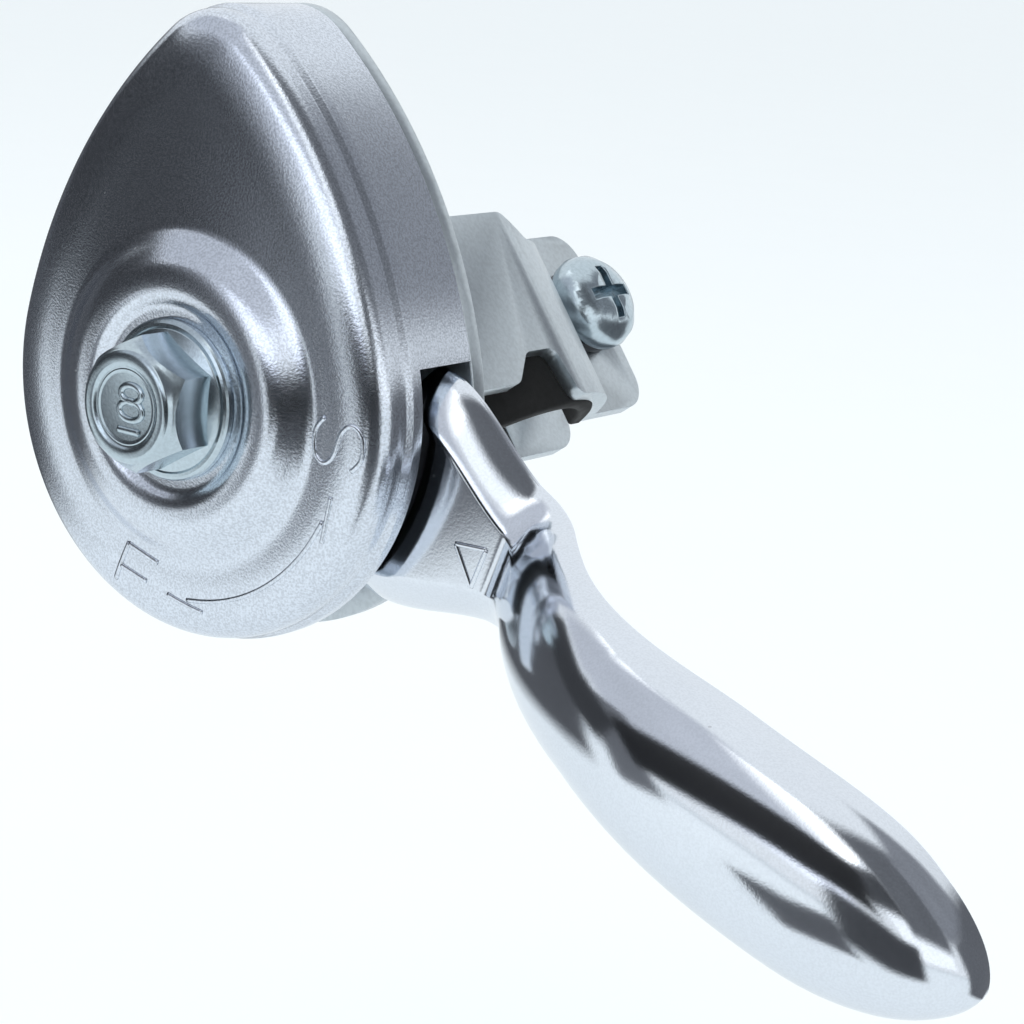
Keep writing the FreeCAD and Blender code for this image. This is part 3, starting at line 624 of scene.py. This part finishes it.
# The marks' lines, in millimetres right and up from the pivot; the S about its own centre
SLOW_CENTRE = (16.7, -1.0)
SLOW_LETTER = ((1.9, 1.5), (1.2, 2.25), (0, 2.45), (-1.3, 2.2), (-1.95, 1.2), (-1.2, 0.3), (0, 0.0),
               (1.2, -0.3), (1.95, -1.2), (1.3, -2.2), (0, -2.45), (-1.2, -2.25), (-1.9, -1.5))
FAST_LETTER = {
    "stem": ((-5.6, -13.6), (-6.4, -15.4), (-7.3, -17.2)),
    "top": ((-5.6, -13.7), (-3.9, -14.2), (-2.2, -14.7)),
    "middle": ((-6.5, -15.8), (-5.0, -16.2), (-3.5, -16.6)),
}
ARROW_RADIUS = 17.3
ARROW_DEGREES = range(-26, -87, -6)
ARROW_HEADS = {
    "slow": ((15.5, -9.4), (15.9, -7.4), (16.3, -5.4)),
    "fast": ((-1.0, -17.2), (0.9, -17.7), (2.9, -18.0)),
}
SLOW_WIDTH = 0.42 * MM
FAST_WIDTH = 0.5 * MM
ARROW_WIDTH = 0.4 * MM


def stroke(name, points, width, height, flat_place, body, slot, material,
           cyclic=False, turn=0.0, centre=(0, 0), cover=None):
    """A raised stamped line: a curve with a round section, pressed flat and made a mesh."""
    curve = bpy.data.curves.new(name, "CURVE")
    curve.dimensions = "3D"
    curve.bevel_depth = width / 2
    curve.bevel_resolution = 4
    curve.use_fill_caps = True
    curve.resolution_u = 10
    spline = curve.splines.new("NURBS")
    spline.points.add(len(points) - 1)
    for item, (x, z) in zip(spline.points, points):
        item.co = (x, 0.0, z, 1.0)
    spline.order_u = 3
    spline.use_cyclic_u = cyclic
    spline.use_endpoint_u = not cyclic
    holder = bpy.data.objects.new(name + "_line", curve)
    bpy.context.scene.collection.objects.link(holder)
    depsgraph = bpy.context.evaluated_depsgraph_get()
    mesh = bpy.data.meshes.new_from_object(holder.evaluated_get(depsgraph))
    bpy.data.objects.remove(holder)
    bpy.data.curves.remove(curve)
    bm = bmesh.new()
    bm.from_mesh(mesh)
    bpy.data.meshes.remove(mesh)
    outward(bm)
    bmesh.ops.scale(bm, vec=(1.0, 2 * height / width, 1.0), verts=bm.verts)
    bmesh.ops.rotate(bm, cent=(0, 0, 0), matrix=Matrix.Rotation(-turn, 3, "Y"), verts=bm.verts)
    bmesh.ops.translate(bm, vec=place(centre[0], flat_place, centre[1]), verts=bm.verts)
    if cover:
        for vert in bm.verts:
            vert.co.y += face_fall(cover, cover.radius - math.hypot(vert.co.x, vert.co.z))
    return add_piece(name, bm, body, slot, material)


class THROTTLE_OT_marks(bpy.types.Operator):
    """Stamp the slow and fast marks and the arrow between them"""

    bl_idname = "throttle.marks"
    bl_label = "Stamp Marks"

    def execute(self, context):
        cover = context.scene.throttle_cover
        give = {"height": cover.mark_height, "flat_place": 0.0, "body": "housing",
                "slot": "cover_steel", "material": "cover_plating", "cover": cover}
        right, up = SLOW_CENTRE
        stroke("mark_slow", in_millimetres(SLOW_LETTER), SLOW_WIDTH,
               turn=math.atan2(up, right) + math.pi / 2, centre=(right * MM, up * MM), **give)
        for name, line in FAST_LETTER.items():
            stroke("mark_fast_" + name, in_millimetres(line), FAST_WIDTH, **give)
        turns = [math.radians(degrees) for degrees in ARROW_DEGREES]
        arc = [(ARROW_RADIUS * math.cos(t), ARROW_RADIUS * math.sin(t)) for t in turns]
        stroke("mark_arrow", in_millimetres(arc), ARROW_WIDTH, **give)
        for name, line in ARROW_HEADS.items():
            stroke("mark_arrow_" + name, in_millimetres(line), ARROW_WIDTH, **give)
        return {"FINISHED"}


# Lever

# Places along the lever, measured from the pivot, and sizes of its section, in millimetres
BLADE_END = 17.5
NECK = 31.5
WIDEST = 64.9
CREASE = 30.6
CREASE_ROUND = 1.5
ARCH_START = 29.6
ARCH_LENGTH = 4.5
DEEPENING_START = 36.0
DEEPENING_LENGTH = 22.0
BEND_LENGTH = 37.4
TIP_LENGTH = 13.6
TIP_DROP = 2.2
NOSE_LENGTH = 5.5
NOSE_RISE = 2.4
NOSE_RISE_LENGTH = 2.1 * NOSE_LENGTH
BLADE_CREST = 7.0
BLADE_DEPTH = 3.8
HANDLE_DEPTH = 7.4
BLADE_CORNER = 3.5
CORNER_GROWTH = 1.8
LEAST_SIDE = 0.2
SLOPE_REACH = 0.4

NOSE_FALL = 0.8
BEND_POWER = 2.6
NOSE_POWER = 2.6
BLADE_CORNER_POWER = 1.55
HANDLE_CORNER_POWER = 0.93

# Where the sections begin, and how they stand round the crease and before the nose
SHEET_START = 16.0
CREASE_REACH = 2.5
KNEE_REACH = 14.0
BLADE_STEPS = 24
CREASE_STEPS = 24
HANDLE_STEPS = 76
NOSE_STEPS = 34
ACROSS_STEPS = 64

HUB_BORE = 6.05
HUB_FRONT = 7.02
HUB_BACK = 8.58
HUB_STEPS = 96

POINTER_CORNERS = ((23.9, -8.8), (27.0, -8.7), (25.7, -12.1))
POINTER_WIDTH = 0.45 * MM
POINTER_HEIGHT = 0.16 * MM

# Shares of half the section at which its flat and its corner end
FLAT_END = 0.3
CORNER_END = 0.75


def lever_crest(lever, u):
    """Millimetres from the cover's face back to the lever's front, before the nose's round."""
    past = max(u - CREASE, -CREASE_ROUND)
    if past < CREASE_ROUND:
        past = (past + CREASE_ROUND) ** 2 / (4 * CREASE_ROUND)
    share = min(1.0, past / BEND_LENGTH)
    drop = TIP_DROP * max(0.0, (u - lever.reach / MM + TIP_LENGTH) / TIP_LENGTH) ** 2
    return BLADE_CREST - lever.handle_rise / MM * (1 - (1 - share) ** BEND_POWER) + drop


def lever_shape(lever, u):
    """Half width, crest, side depth, corner width and depth in millimetres, and squareness."""
    neck = lever.neck_half_width / MM
    handle = lever.handle_half_width / MM
    nose = lever.reach / MM
    if u < NECK:
        half = eased(lever.blade_half_width / MM, neck, (u - BLADE_END) / (NECK - BLADE_END))
    elif u < WIDEST:
        half = eased(neck, handle, (u - NECK) / (WIDEST - NECK))
    else:
        share = min(1.0, (u - WIDEST) / (nose - WIDEST))
        half = handle * math.sqrt(max(0.0, 1 - share ** NOSE_POWER))
    arch = eased(0.0, 1.0, (u - ARCH_START) / ARCH_LENGTH)
    deep = eased(BLADE_DEPTH, HANDLE_DEPTH, (u - DEEPENING_START) / DEEPENING_LENGTH)
    deep -= NOSE_RISE * max(0.0, (u - nose + NOSE_RISE_LENGTH) / NOSE_RISE_LENGTH) ** 2
    corner_across = min(half, BLADE_CORNER + arch * (half - BLADE_CORNER))
    corner_deep = min(BLADE_CORNER + arch * CORNER_GROWTH, deep - LEAST_SIDE)
    share = min(1.0, max(0.0, (u - nose + NOSE_LENGTH) / NOSE_LENGTH))
    fall = NOSE_FALL * (1 - math.sqrt(1 - share * share))
    crest = lever_crest(lever, u) + corner_deep * fall
    deep -= corner_deep * fall
    corner_deep *= 1 - fall
    power = BLADE_CORNER_POWER + (HANDLE_CORNER_POWER - BLADE_CORNER_POWER) * arch
    return half, crest, deep, corner_across, corner_deep, power


def lever_point(lever, reach, turn):
    """A point of the lever's outer surface; turn is -1 at one side's foot and 1 at the other's."""
    half, crest, deep, corner_across, corner_deep, power = lever_shape(lever, reach / MM)
    steady = min(reach, lever.reach - NOSE_LENGTH * MM) / MM
    before, after = (lever_crest(lever, steady + step) for step in (-SLOPE_REACH, SLOPE_REACH))
    slope = math.atan2(after - before, 2 * SLOPE_REACH)
    share = abs(turn)
    if share < FLAT_END:
        across = (half - corner_across) * share / FLAT_END
        down = 0.0
    elif share < CORNER_END:
        angle = math.pi / 2 * (share - FLAT_END) / (CORNER_END - FLAT_END)
        across = half - corner_across * (1 - math.sin(angle) ** power)
        down = corner_deep * (1 - math.cos(angle) ** power)
    else:
        across = half
        down = corner_deep + (deep - corner_deep) * (share - CORNER_END) / (1 - CORNER_END)
    u = reach - math.sin(slope) * down * MM
    y = (crest + math.cos(slope) * down) * MM
    across *= (1 if turn >= 0 else -1) * MM
    along = Vector((math.cos(lever.rest_turn), math.sin(lever.rest_turn)))
    return place(u * along.x - across * along.y, y, u * along.y + across * along.x)


def lever_reaches(lever):
    """Where the sections stand: even along the lever, closer at the crease and at the nose."""
    start = SHEET_START * MM
    crease = (CREASE - CREASE_REACH) * MM
    after = (CREASE + CREASE_REACH) * MM
    knee = lever.reach - KNEE_REACH * MM
    reaches = [start + (crease - start) * i / BLADE_STEPS for i in range(BLADE_STEPS)]
    reaches += [crease + (after - crease) * i / CREASE_STEPS for i in range(CREASE_STEPS)]
    reaches += [after + (knee - after) * i / HANDLE_STEPS for i in range(HANDLE_STEPS)]
    reaches += [knee + (lever.reach - knee) * math.sin(math.pi / 2 * i / NOSE_STEPS)
                for i in range(NOSE_STEPS + 1)]
    return reaches


class THROTTLE_OT_lever(bpy.types.Operator):
    """Press the lever: blade, forward bend and hollow crowned handle"""

    bl_idname = "throttle.lever"
    bl_label = "Model Lever"

    def execute(self, context):
        lever = context.scene.throttle_lever
        reaches = lever_reaches(lever)
        rows = len(reaches) - 1
        bm = bmesh.new()
        bmesh.ops.create_grid(bm, x_segments=rows, y_segments=ACROSS_STEPS, size=1.0)
        for vert in bm.verts:
            row = round((vert.co.x + 1) / 2 * rows)
            vert.co = lever_point(lever, reaches[row], vert.co.y)
        outward(bm)
        if sum(f.normal.y for f in bm.faces if abs(f.normal.y) > 0.9) > 0:
            bmesh.ops.reverse_faces(bm, faces=bm.faces)
        piece = add_piece("lever_pressing", bm, "lever", "lever_chrome", "lever_plating",
                          "lever_arm")
        thicken(piece, lever.sheet, even=False)
        break_edges(piece, 0.2 * MM, 50.0)
        bm = bmesh.new()
        rim = lever.hub_radius / MM
        profile = ((HUB_BORE, HUB_FRONT), (rim, HUB_FRONT), (rim, HUB_BACK), (HUB_BORE, HUB_BACK),
                   (HUB_BORE, HUB_FRONT))
        rings_to_mesh(bm, turned_rings(profile, HUB_STEPS))
        outward(bm)
        hub = add_piece("lever_hub", bm, "lever", "lever_chrome", "lever_plating")
        break_edges(hub, 0.15 * MM)
        return {"FINISHED"}


class THROTTLE_OT_pointer(bpy.types.Operator):
    """Stamp the pointer on the blade"""

    bl_idname = "throttle.pointer"
    bl_label = "Stamp Pointer"

    def execute(self, context):
        for name, start, end in (("top", 0, 1), ("right", 1, 2), ("left", 2, 0)):
            line = in_millimetres((POINTER_CORNERS[start], POINTER_CORNERS[end]))
            line.insert(1, tuple((p + q) / 2 for p, q in zip(*line)))
            stroke("pointer_" + name, line, POINTER_WIDTH, POINTER_HEIGHT, HUB_FRONT * MM,
                   "lever", "lever_chrome", "lever_plating")
        return {"FINISHED"}


# Pivot bolt

BOLT_FLATS = 10.0 * MM
BOLT_SEAT = -1.3 * MM
BOLT_FRONT = BOLT_SEAT - 5.75 * MM
BOLT_STEPS = 144

# Millimetres from the axis, and behind the head's front: the dish and the rim
HEAD_PROFILE = ((0.5, 0.28), (2.75, 0.28), (2.9, 0.26), (3.0, 0.22), (3.08, 0.2), (3.18, 0.22),
                (3.32, 0.19), (3.45, 0.1), (3.58, 0.03), (3.74, 0.0), (4.2, 0.0), (4.36, 0.03),
                (4.52, 0.1), (4.64, 0.2), (4.73, 0.32), (4.78, 0.46))
RIM_RADIUS = HEAD_PROFILE[-1][0] * MM
RIM_BACK = HEAD_PROFILE[-1][1] * MM

# Share of the way from the rim out to the hexagon, and how far back per distance out
CHAMFER = ((0.5, 0.62), (1.0, 1.3))

FLANGE_TOP = BOLT_SEAT - 0.75 * MM
FLANGE_REACH = 6.5 * MM
FLANGE_SLOPE = 0.32

# Millimetres from the axis, and behind the flange's top
FLANGE_PROFILE = ((5.95, -0.16), (6.05, -0.04), (6.15, -0.12), (6.4, -0.1), (6.62, 0.02),
                  (6.76, 0.2), (6.8, 0.42))

# Millimetres from the axis, and behind the cover's face
SHANK_PROFILE = ((6.76, -1.38), (6.68, -1.3), (2.98, -1.3), (2.98, 22.4), (2.6, 22.8), (0.5, 22.8))

# The class mark's two loops, by the height of their middle and their half sizes, and its bar
CLASS_LOOPS = {"upper": (1.15, 1.2, 0.75), "lower": (-0.25, 1.35, 0.85)}
CLASS_MIDDLE = 0.5
CLASS_BAR = ((-0.8, -1.95), (0.35, -1.95), (1.5, -1.95))
CLASS_FLOOR = 0.28 * MM
CLASS_WIDTH = 0.62 * MM
CLASS_HEIGHT = 0.2 * MM


def hexagon_reach(turn):
    """Distance from the axis to the head's side, with two flats facing left and right."""
    sector = math.radians(60)
    return BOLT_FLATS / 2 / math.cos((turn + sector / 2) % sector - sector / 2)


def bolt_stations():
    """Every ring of the bolt, from the middle of its head's dish to the end of its shank."""
    turns = [2 * math.pi * i / BOLT_STEPS for i in range(BOLT_STEPS)]
    stations = turned_rings(HEAD_PROFILE, BOLT_STEPS, BOLT_FRONT)
    for out, back in CHAMFER:
        ring = []
        for turn in turns:
            past = hexagon_reach(turn) - RIM_RADIUS
            reach = RIM_RADIUS + past * out
            behind = BOLT_FRONT + RIM_BACK + past * back
            ring.append(place(reach * math.cos(turn), behind, reach * math.sin(turn)))
        stations.append(ring)
    foot = []
    for turn in turns:
        reach = hexagon_reach(turn)
        behind = FLANGE_TOP - (FLANGE_REACH - reach) * FLANGE_SLOPE
        foot.append(place(reach * math.cos(turn), behind, reach * math.sin(turn)))
    stations.append(foot)
    stations += turned_rings(FLANGE_PROFILE, BOLT_STEPS, FLANGE_TOP)
    stations += turned_rings(SHANK_PROFILE, BOLT_STEPS)
    return stations


class THROTTLE_OT_bolt(bpy.types.Operator):
    """Model the flanged hexagon bolt with its dished, marked head"""

    bl_idname = "throttle.bolt"
    bl_label = "Model Pivot Bolt"

    def execute(self, context):
        bm = bmesh.new()
        rings_to_mesh(bm, bolt_stations(), closed_start=True, closed_end=True)
        outward(bm)
        piece = add_piece("pivot_bolt_flanged", bm, "housing", "fastener_steel", "fastener_plating",
                          "pivot_bolt")
        piece.data.set_sharp_from_angle(angle=math.radians(22))
        give = {"width": CLASS_WIDTH, "height": CLASS_HEIGHT,
                "flat_place": BOLT_FRONT + CLASS_FLOOR, "body": "housing",
                "slot": "fastener_steel", "material": "fastener_plating"}
        turns = [math.radians(degrees) for degrees in range(0, 360, 45)]
        for name, (middle, across, up) in CLASS_LOOPS.items():
            loop = [(CLASS_MIDDLE + across * math.cos(t), middle + up * math.sin(t)) for t in turns]
            stroke("class_mark_" + name, in_millimetres(loop), cyclic=True, **give)
        stroke("class_mark_bar", in_millimetres(CLASS_BAR), **give)
        return {"FINISHED"}


# Node, new piece, millimetres broken off its edges, material and least turn of a broken edge
EDGE_BREAKS = (
    ("clamp_strap", "clamp_strap_bent", 0.2, "strap_plating", 30.0),
    ("clamp_liner", "clamp_liner_moulded", 0.3, "liner_rubber", 30.0),
    ("base_plate", "base_plate_pressed", 0.15, "strap_plating", 30.0),
    ("clamp_screw", "clamp_screw_cross", 0.12, "fastener_plating", 50.0),
    ("clamp_nut", "clamp_nut_hex", 0.12, "fastener_plating", 30.0),
    ("clamp_spring_washer", "clamp_washer_split", 0.1, "spring_plating", 30.0),
    ("lock_nut", "lock_nut_hex", 0.12, "fastener_plating", 30.0),
)


class THROTTLE_OT_clamp(bpy.types.Operator):
    """Break the edges of the clamp's pieces, the base plate and the lock nut"""

    bl_idname = "throttle.clamp"
    bl_label = "Dress Clamp"

    def execute(self, context):
        for node, name, edge, material, angle in EDGE_BREAKS:
            copy_of_node(node, name, edge * MM, material, angle)
        return {"FINISHED"}


# Stage

FLOOR_LEVEL = -88 * MM
FLOOR_HALF = 4.0
FLOOR_GLOW = 0.09
SKY = (0.93, 0.97, 1.0)
SKY_SEEN = 1.0
SKY_UNSEEN = 0.95
CARD_TINT = (0.95, 1.0, 1.1)
CARD_CLOUDING = 0.2
CARD_SOFTNESS = 0.3
MIDDLE = Vector((20, -30, 0)) * MM
HANDLE = Vector((45, -38, -28)) * MM

# Name, the point it is seen from, then its turn and height in degrees, how far away it stands in
# millimetres, how wide and tall it looks and how it rolls in degrees, and its shade
CARDS = (
    ("card_1", MIDDLE, -130, 3, 130, 46, 23, 108, 0.16),
    ("card_2", MIDDLE, -188, -2, 173, 80, 51, 0, 0.10),
    ("card_3", MIDDLE, -7, 47, 499, 62, 60, -109, 0.15),
    ("card_4", MIDDLE, 44, 36, 479, 47, 57, -105, 0.27),
    ("card_5", MIDDLE, -57, -11, 153, 54, 40, -2, 0.07),
    ("card_6", MIDDLE, -121, 45, 221, 80, 70, 133, 0.62),
    ("card_7", MIDDLE, 43, -14, 120, 76, 50, -3, 0.15),
    ("card_8", MIDDLE, -154, 12, 120, 52, 28, -32, 0.05),
    ("card_9", MIDDLE, -42, 23, 120, 25, 22, 12, 0.07),
    ("card_10", HANDLE, -94, 34, 54, 80, 34, 10, 0.02),
    ("card_11", HANDLE, -81, -15, 45, 35, 22, 18, 0.12),
    ("panel_bright", MIDDLE, -92, 18, 200, 42, 30, 0, 1.52),
)

# Name, place, watts, size and colour
LAMPS = (
    ("key", (-0.25, -0.55, 0.75), 3.0, 1.1, (1.0, 0.99, 0.97)),
    ("fill", (0.6, -0.3, 0.45), 1.0, 1.0, (0.93, 0.96, 1.0)),
)

# The photograph's viewpoint: the picture's right, up and back, and the camera's place
VIEW_AXES = ((0.8027, 0.5925, 0.0685), (-0.1917, 0.1476, 0.9703), (0.5648, -0.792, 0.232))
VIEW_PLACE = Vector((150.5, -197.4, 44.7)) * MM
VIEW_LENS = 94.92


class THROTTLE_OT_stage(bpy.types.Operator):
    """Set up the floor, the light, the reflecting cards and the camera"""

    bl_idname = "throttle.stage"
    bl_label = "Set Stage"

    def execute(self, context):
        self.floor(context)
        self.world(context)
        self.cards()
        self.lights(context)
        self.camera(context)
        return {"FINISHED"}

    def floor(self, context):
        """A plain pale floor that glows a little to the camera alone."""
        tone = context.scene.throttle_finishes.floor
        material, tree, shader, coords = new_material("pale_floor")
        mix = tree.nodes.new("ShaderNodeMix")
        mix.data_type = "RGBA"
        link(tree, noise(tree, coords, 30.0, 3.0), mix.inputs["Factor"])
        mix.inputs["A"].default_value = (*[c * 0.985 for c in tone], 1.0)
        mix.inputs["B"].default_value = (*tone, 1.0)
        link(tree, mix.outputs["Result"], shader.inputs["Base Color"])
        shader.inputs["Roughness"].default_value = 0.7
        shader.inputs["Specular IOR Level"].default_value = 0.2
        path = tree.nodes.new("ShaderNodeLightPath")
        link(tree, mix.outputs["Result"], shader.inputs["Emission Color"])
        glow = ramp(tree, path.outputs["Is Camera Ray"], 0.0, 1.0, 0.0, FLOOR_GLOW)
        link(tree, glow, shader.inputs["Emission Strength"])
        bm = bmesh.new()
        bmesh.ops.create_grid(bm, x_segments=1, y_segments=1, size=FLOOR_HALF)
        bmesh.ops.translate(bm, vec=(0, 0, FLOOR_LEVEL), verts=bm.verts)
        self.stage_object("floor", bm, material)

    def stage_object(self, name, bm, material):
        """Link a mesh that is not part of the object."""
        mesh = bpy.data.meshes.new(name)
        bm.to_mesh(mesh)
        bm.free()
        mesh.materials.append(material)
        made = bpy.data.objects.new(name, mesh)
        bpy.context.scene.collection.objects.link(made)
        return made

    def world(self, context):
        """A pale sky, a little brighter where the camera, gloss and glass see it."""
        world = bpy.data.worlds.new("studio")
        context.scene.world = world
        world.use_nodes = True
        tree = world.node_tree
        background = tree.nodes["Background"]
        path = tree.nodes.new("ShaderNodeLightPath")
        shiny = combine(tree, "MAXIMUM", path.outputs["Is Glossy Ray"],
                        path.outputs["Is Transmission Ray"])
        seen = combine(tree, "MAXIMUM", path.outputs["Is Camera Ray"], shiny)
        background.inputs["Color"].default_value = (*SKY, 1.0)
        strength = ramp(tree, seen, 0.0, 1.0, SKY_UNSEEN, SKY_SEEN)
        link(tree, strength, background.inputs["Strength"])

    def card_material(self, name, shade, size):
        """A faintly clouded shade that fades out towards the card's edges."""
        material, tree, shader, coords = new_material(name)
        mix = tree.nodes.new("ShaderNodeMix")
        mix.data_type = "RGBA"
        link(tree, noise(tree, coords, 6.0), mix.inputs["Factor"])
        for key, share in (("A", 1 - CARD_CLOUDING), ("B", 1 + CARD_CLOUDING)):
            mix.inputs[key].default_value = (*[c * shade * share for c in CARD_TINT], 1.0)
        link(tree, mix.outputs["Result"], shader.inputs["Emission Color"])
        shader.inputs["Emission Strength"].default_value = 1.0
        apart = tree.nodes.new("ShaderNodeSeparateXYZ")
        link(tree, coords, apart.inputs["Vector"])
        soft = CARD_SOFTNESS * min(size)
        fades = []
        for axis in (0, 1):
            out = combine(tree, "ABSOLUTE", apart.outputs[axis], 0.0)
            fades.append(ramp(tree, out, size[axis] - soft, size[axis], 1.0, 0.0))
        link(tree, combine(tree, "MULTIPLY", *fades), shader.inputs["Alpha"])
        shader.inputs["Base Color"].default_value = (0.0, 0.0, 0.0, 1.0)
        shader.inputs["Specular IOR Level"].default_value = 0.0
        return material

    def cards(self):
        """Put up the cards round the object that only its plating reflects."""
        for name, aim, turn, height, away, wide, tall, roll, shade in CARDS:
            size = [math.tan(math.radians(angle / 2)) * away * MM for angle in (wide, tall)]
            bm = bmesh.new()
            bmesh.ops.create_grid(bm, x_segments=1, y_segments=1, size=1.0)
            bmesh.ops.scale(bm, vec=(*size, 1.0), verts=bm.verts)
            card = self.stage_object(name, bm, self.card_material(name, shade, size))
            turned, raised = math.radians(turn), math.radians(height)
            across = Vector((-math.sin(turned), math.cos(turned), 0.0))
            outwards = Vector((math.cos(raised) * math.cos(turned),
                               math.cos(raised) * math.sin(turned), math.sin(raised)))
            facing = Matrix((across, outwards.cross(across), outwards)).transposed()
            rolled = facing @ Matrix.Rotation(math.radians(roll), 3, "Z")
            card.matrix_world = Matrix.Translation(aim + outwards * away * MM) @ rolled.to_4x4()
            card.visible_camera = False
            card.visible_shadow = False
            card.visible_diffuse = False

    def lights(self, context):
        """Soft lamps from the left and from the right."""
        for name, spot, energy, size, tint in LAMPS:
            lamp = bpy.data.lights.new(name, "AREA")
            lamp.energy = energy
            lamp.size = size
            lamp.color = tint
            holder = bpy.data.objects.new(name, lamp)
            holder.location = spot
            holder.rotation_euler = (-Vector(spot)).to_track_quat("-Z", "Y").to_euler()
            context.scene.collection.objects.link(holder)

    def camera(self, context):
        """The photograph's viewpoint."""
        camera = bpy.data.cameras.new("camera")
        camera.sensor_width = 36.0
        camera.lens = VIEW_LENS
        camera.clip_start = 0.01
        holder = bpy.data.objects.new("camera", camera)
        context.scene.collection.objects.link(holder)
        turned = Matrix(VIEW_AXES).transposed().to_4x4()
        holder.matrix_world = Matrix.Translation(VIEW_PLACE) @ turned
        context.scene.camera = holder
        context.scene.view_settings.view_transform = "Standard"


class THROTTLE_PT_panel(bpy.types.Panel):
    """Sizes, finishes and steps of the throttle lever"""

    bl_label = "Throttle Lever"
    bl_idname = "THROTTLE_PT_panel"
    bl_space_type = "VIEW_3D"
    bl_region_type = "UI"
    bl_category = "Throttle Lever"

    def draw(self, context):
        layout = self.layout
        for group, operators in (
            (context.scene.throttle_cover, ("throttle.cover", "throttle.marks")),
            (context.scene.throttle_lever, ("throttle.lever", "throttle.pointer")),
            (context.scene.throttle_finishes,
             ("throttle.finishes", "throttle.bolt", "throttle.clamp", "throttle.stage")),
        ):
            box = layout.box()
            for key in group.__annotations__:
                box.prop(group, key)
            for name in operators:
                box.operator(name)


CLASSES = (
    ThrottleCoverSizes,
    ThrottleLeverSizes,
    ThrottleFinishes,
    THROTTLE_OT_finishes,
    THROTTLE_OT_cover,
    THROTTLE_OT_marks,
    THROTTLE_OT_lever,
    THROTTLE_OT_pointer,
    THROTTLE_OT_bolt,
    THROTTLE_OT_clamp,
    THROTTLE_OT_stage,
    THROTTLE_PT_panel,
)


def register():
    for item in CLASSES:
        bpy.utils.register_class(item)
    bpy.types.Scene.throttle_cover = bpy.props.PointerProperty(type=ThrottleCoverSizes)
    bpy.types.Scene.throttle_lever = bpy.props.PointerProperty(type=ThrottleLeverSizes)
    bpy.types.Scene.throttle_finishes = bpy.props.PointerProperty(type=ThrottleFinishes)


def unregister():
    del bpy.types.Scene.throttle_finishes
    del bpy.types.Scene.throttle_lever
    del bpy.types.Scene.throttle_cover
    for item in reversed(CLASSES):
        bpy.utils.unregister_class(item)


def main():
    register()
    bpy.ops.throttle.finishes()
    bpy.ops.throttle.cover()
    bpy.ops.throttle.marks()
    bpy.ops.throttle.lever()
    bpy.ops.throttle.pointer()
    bpy.ops.throttle.bolt()
    bpy.ops.throttle.clamp()
    bpy.ops.throttle.stage()


if __name__ == "__main__":
    main()
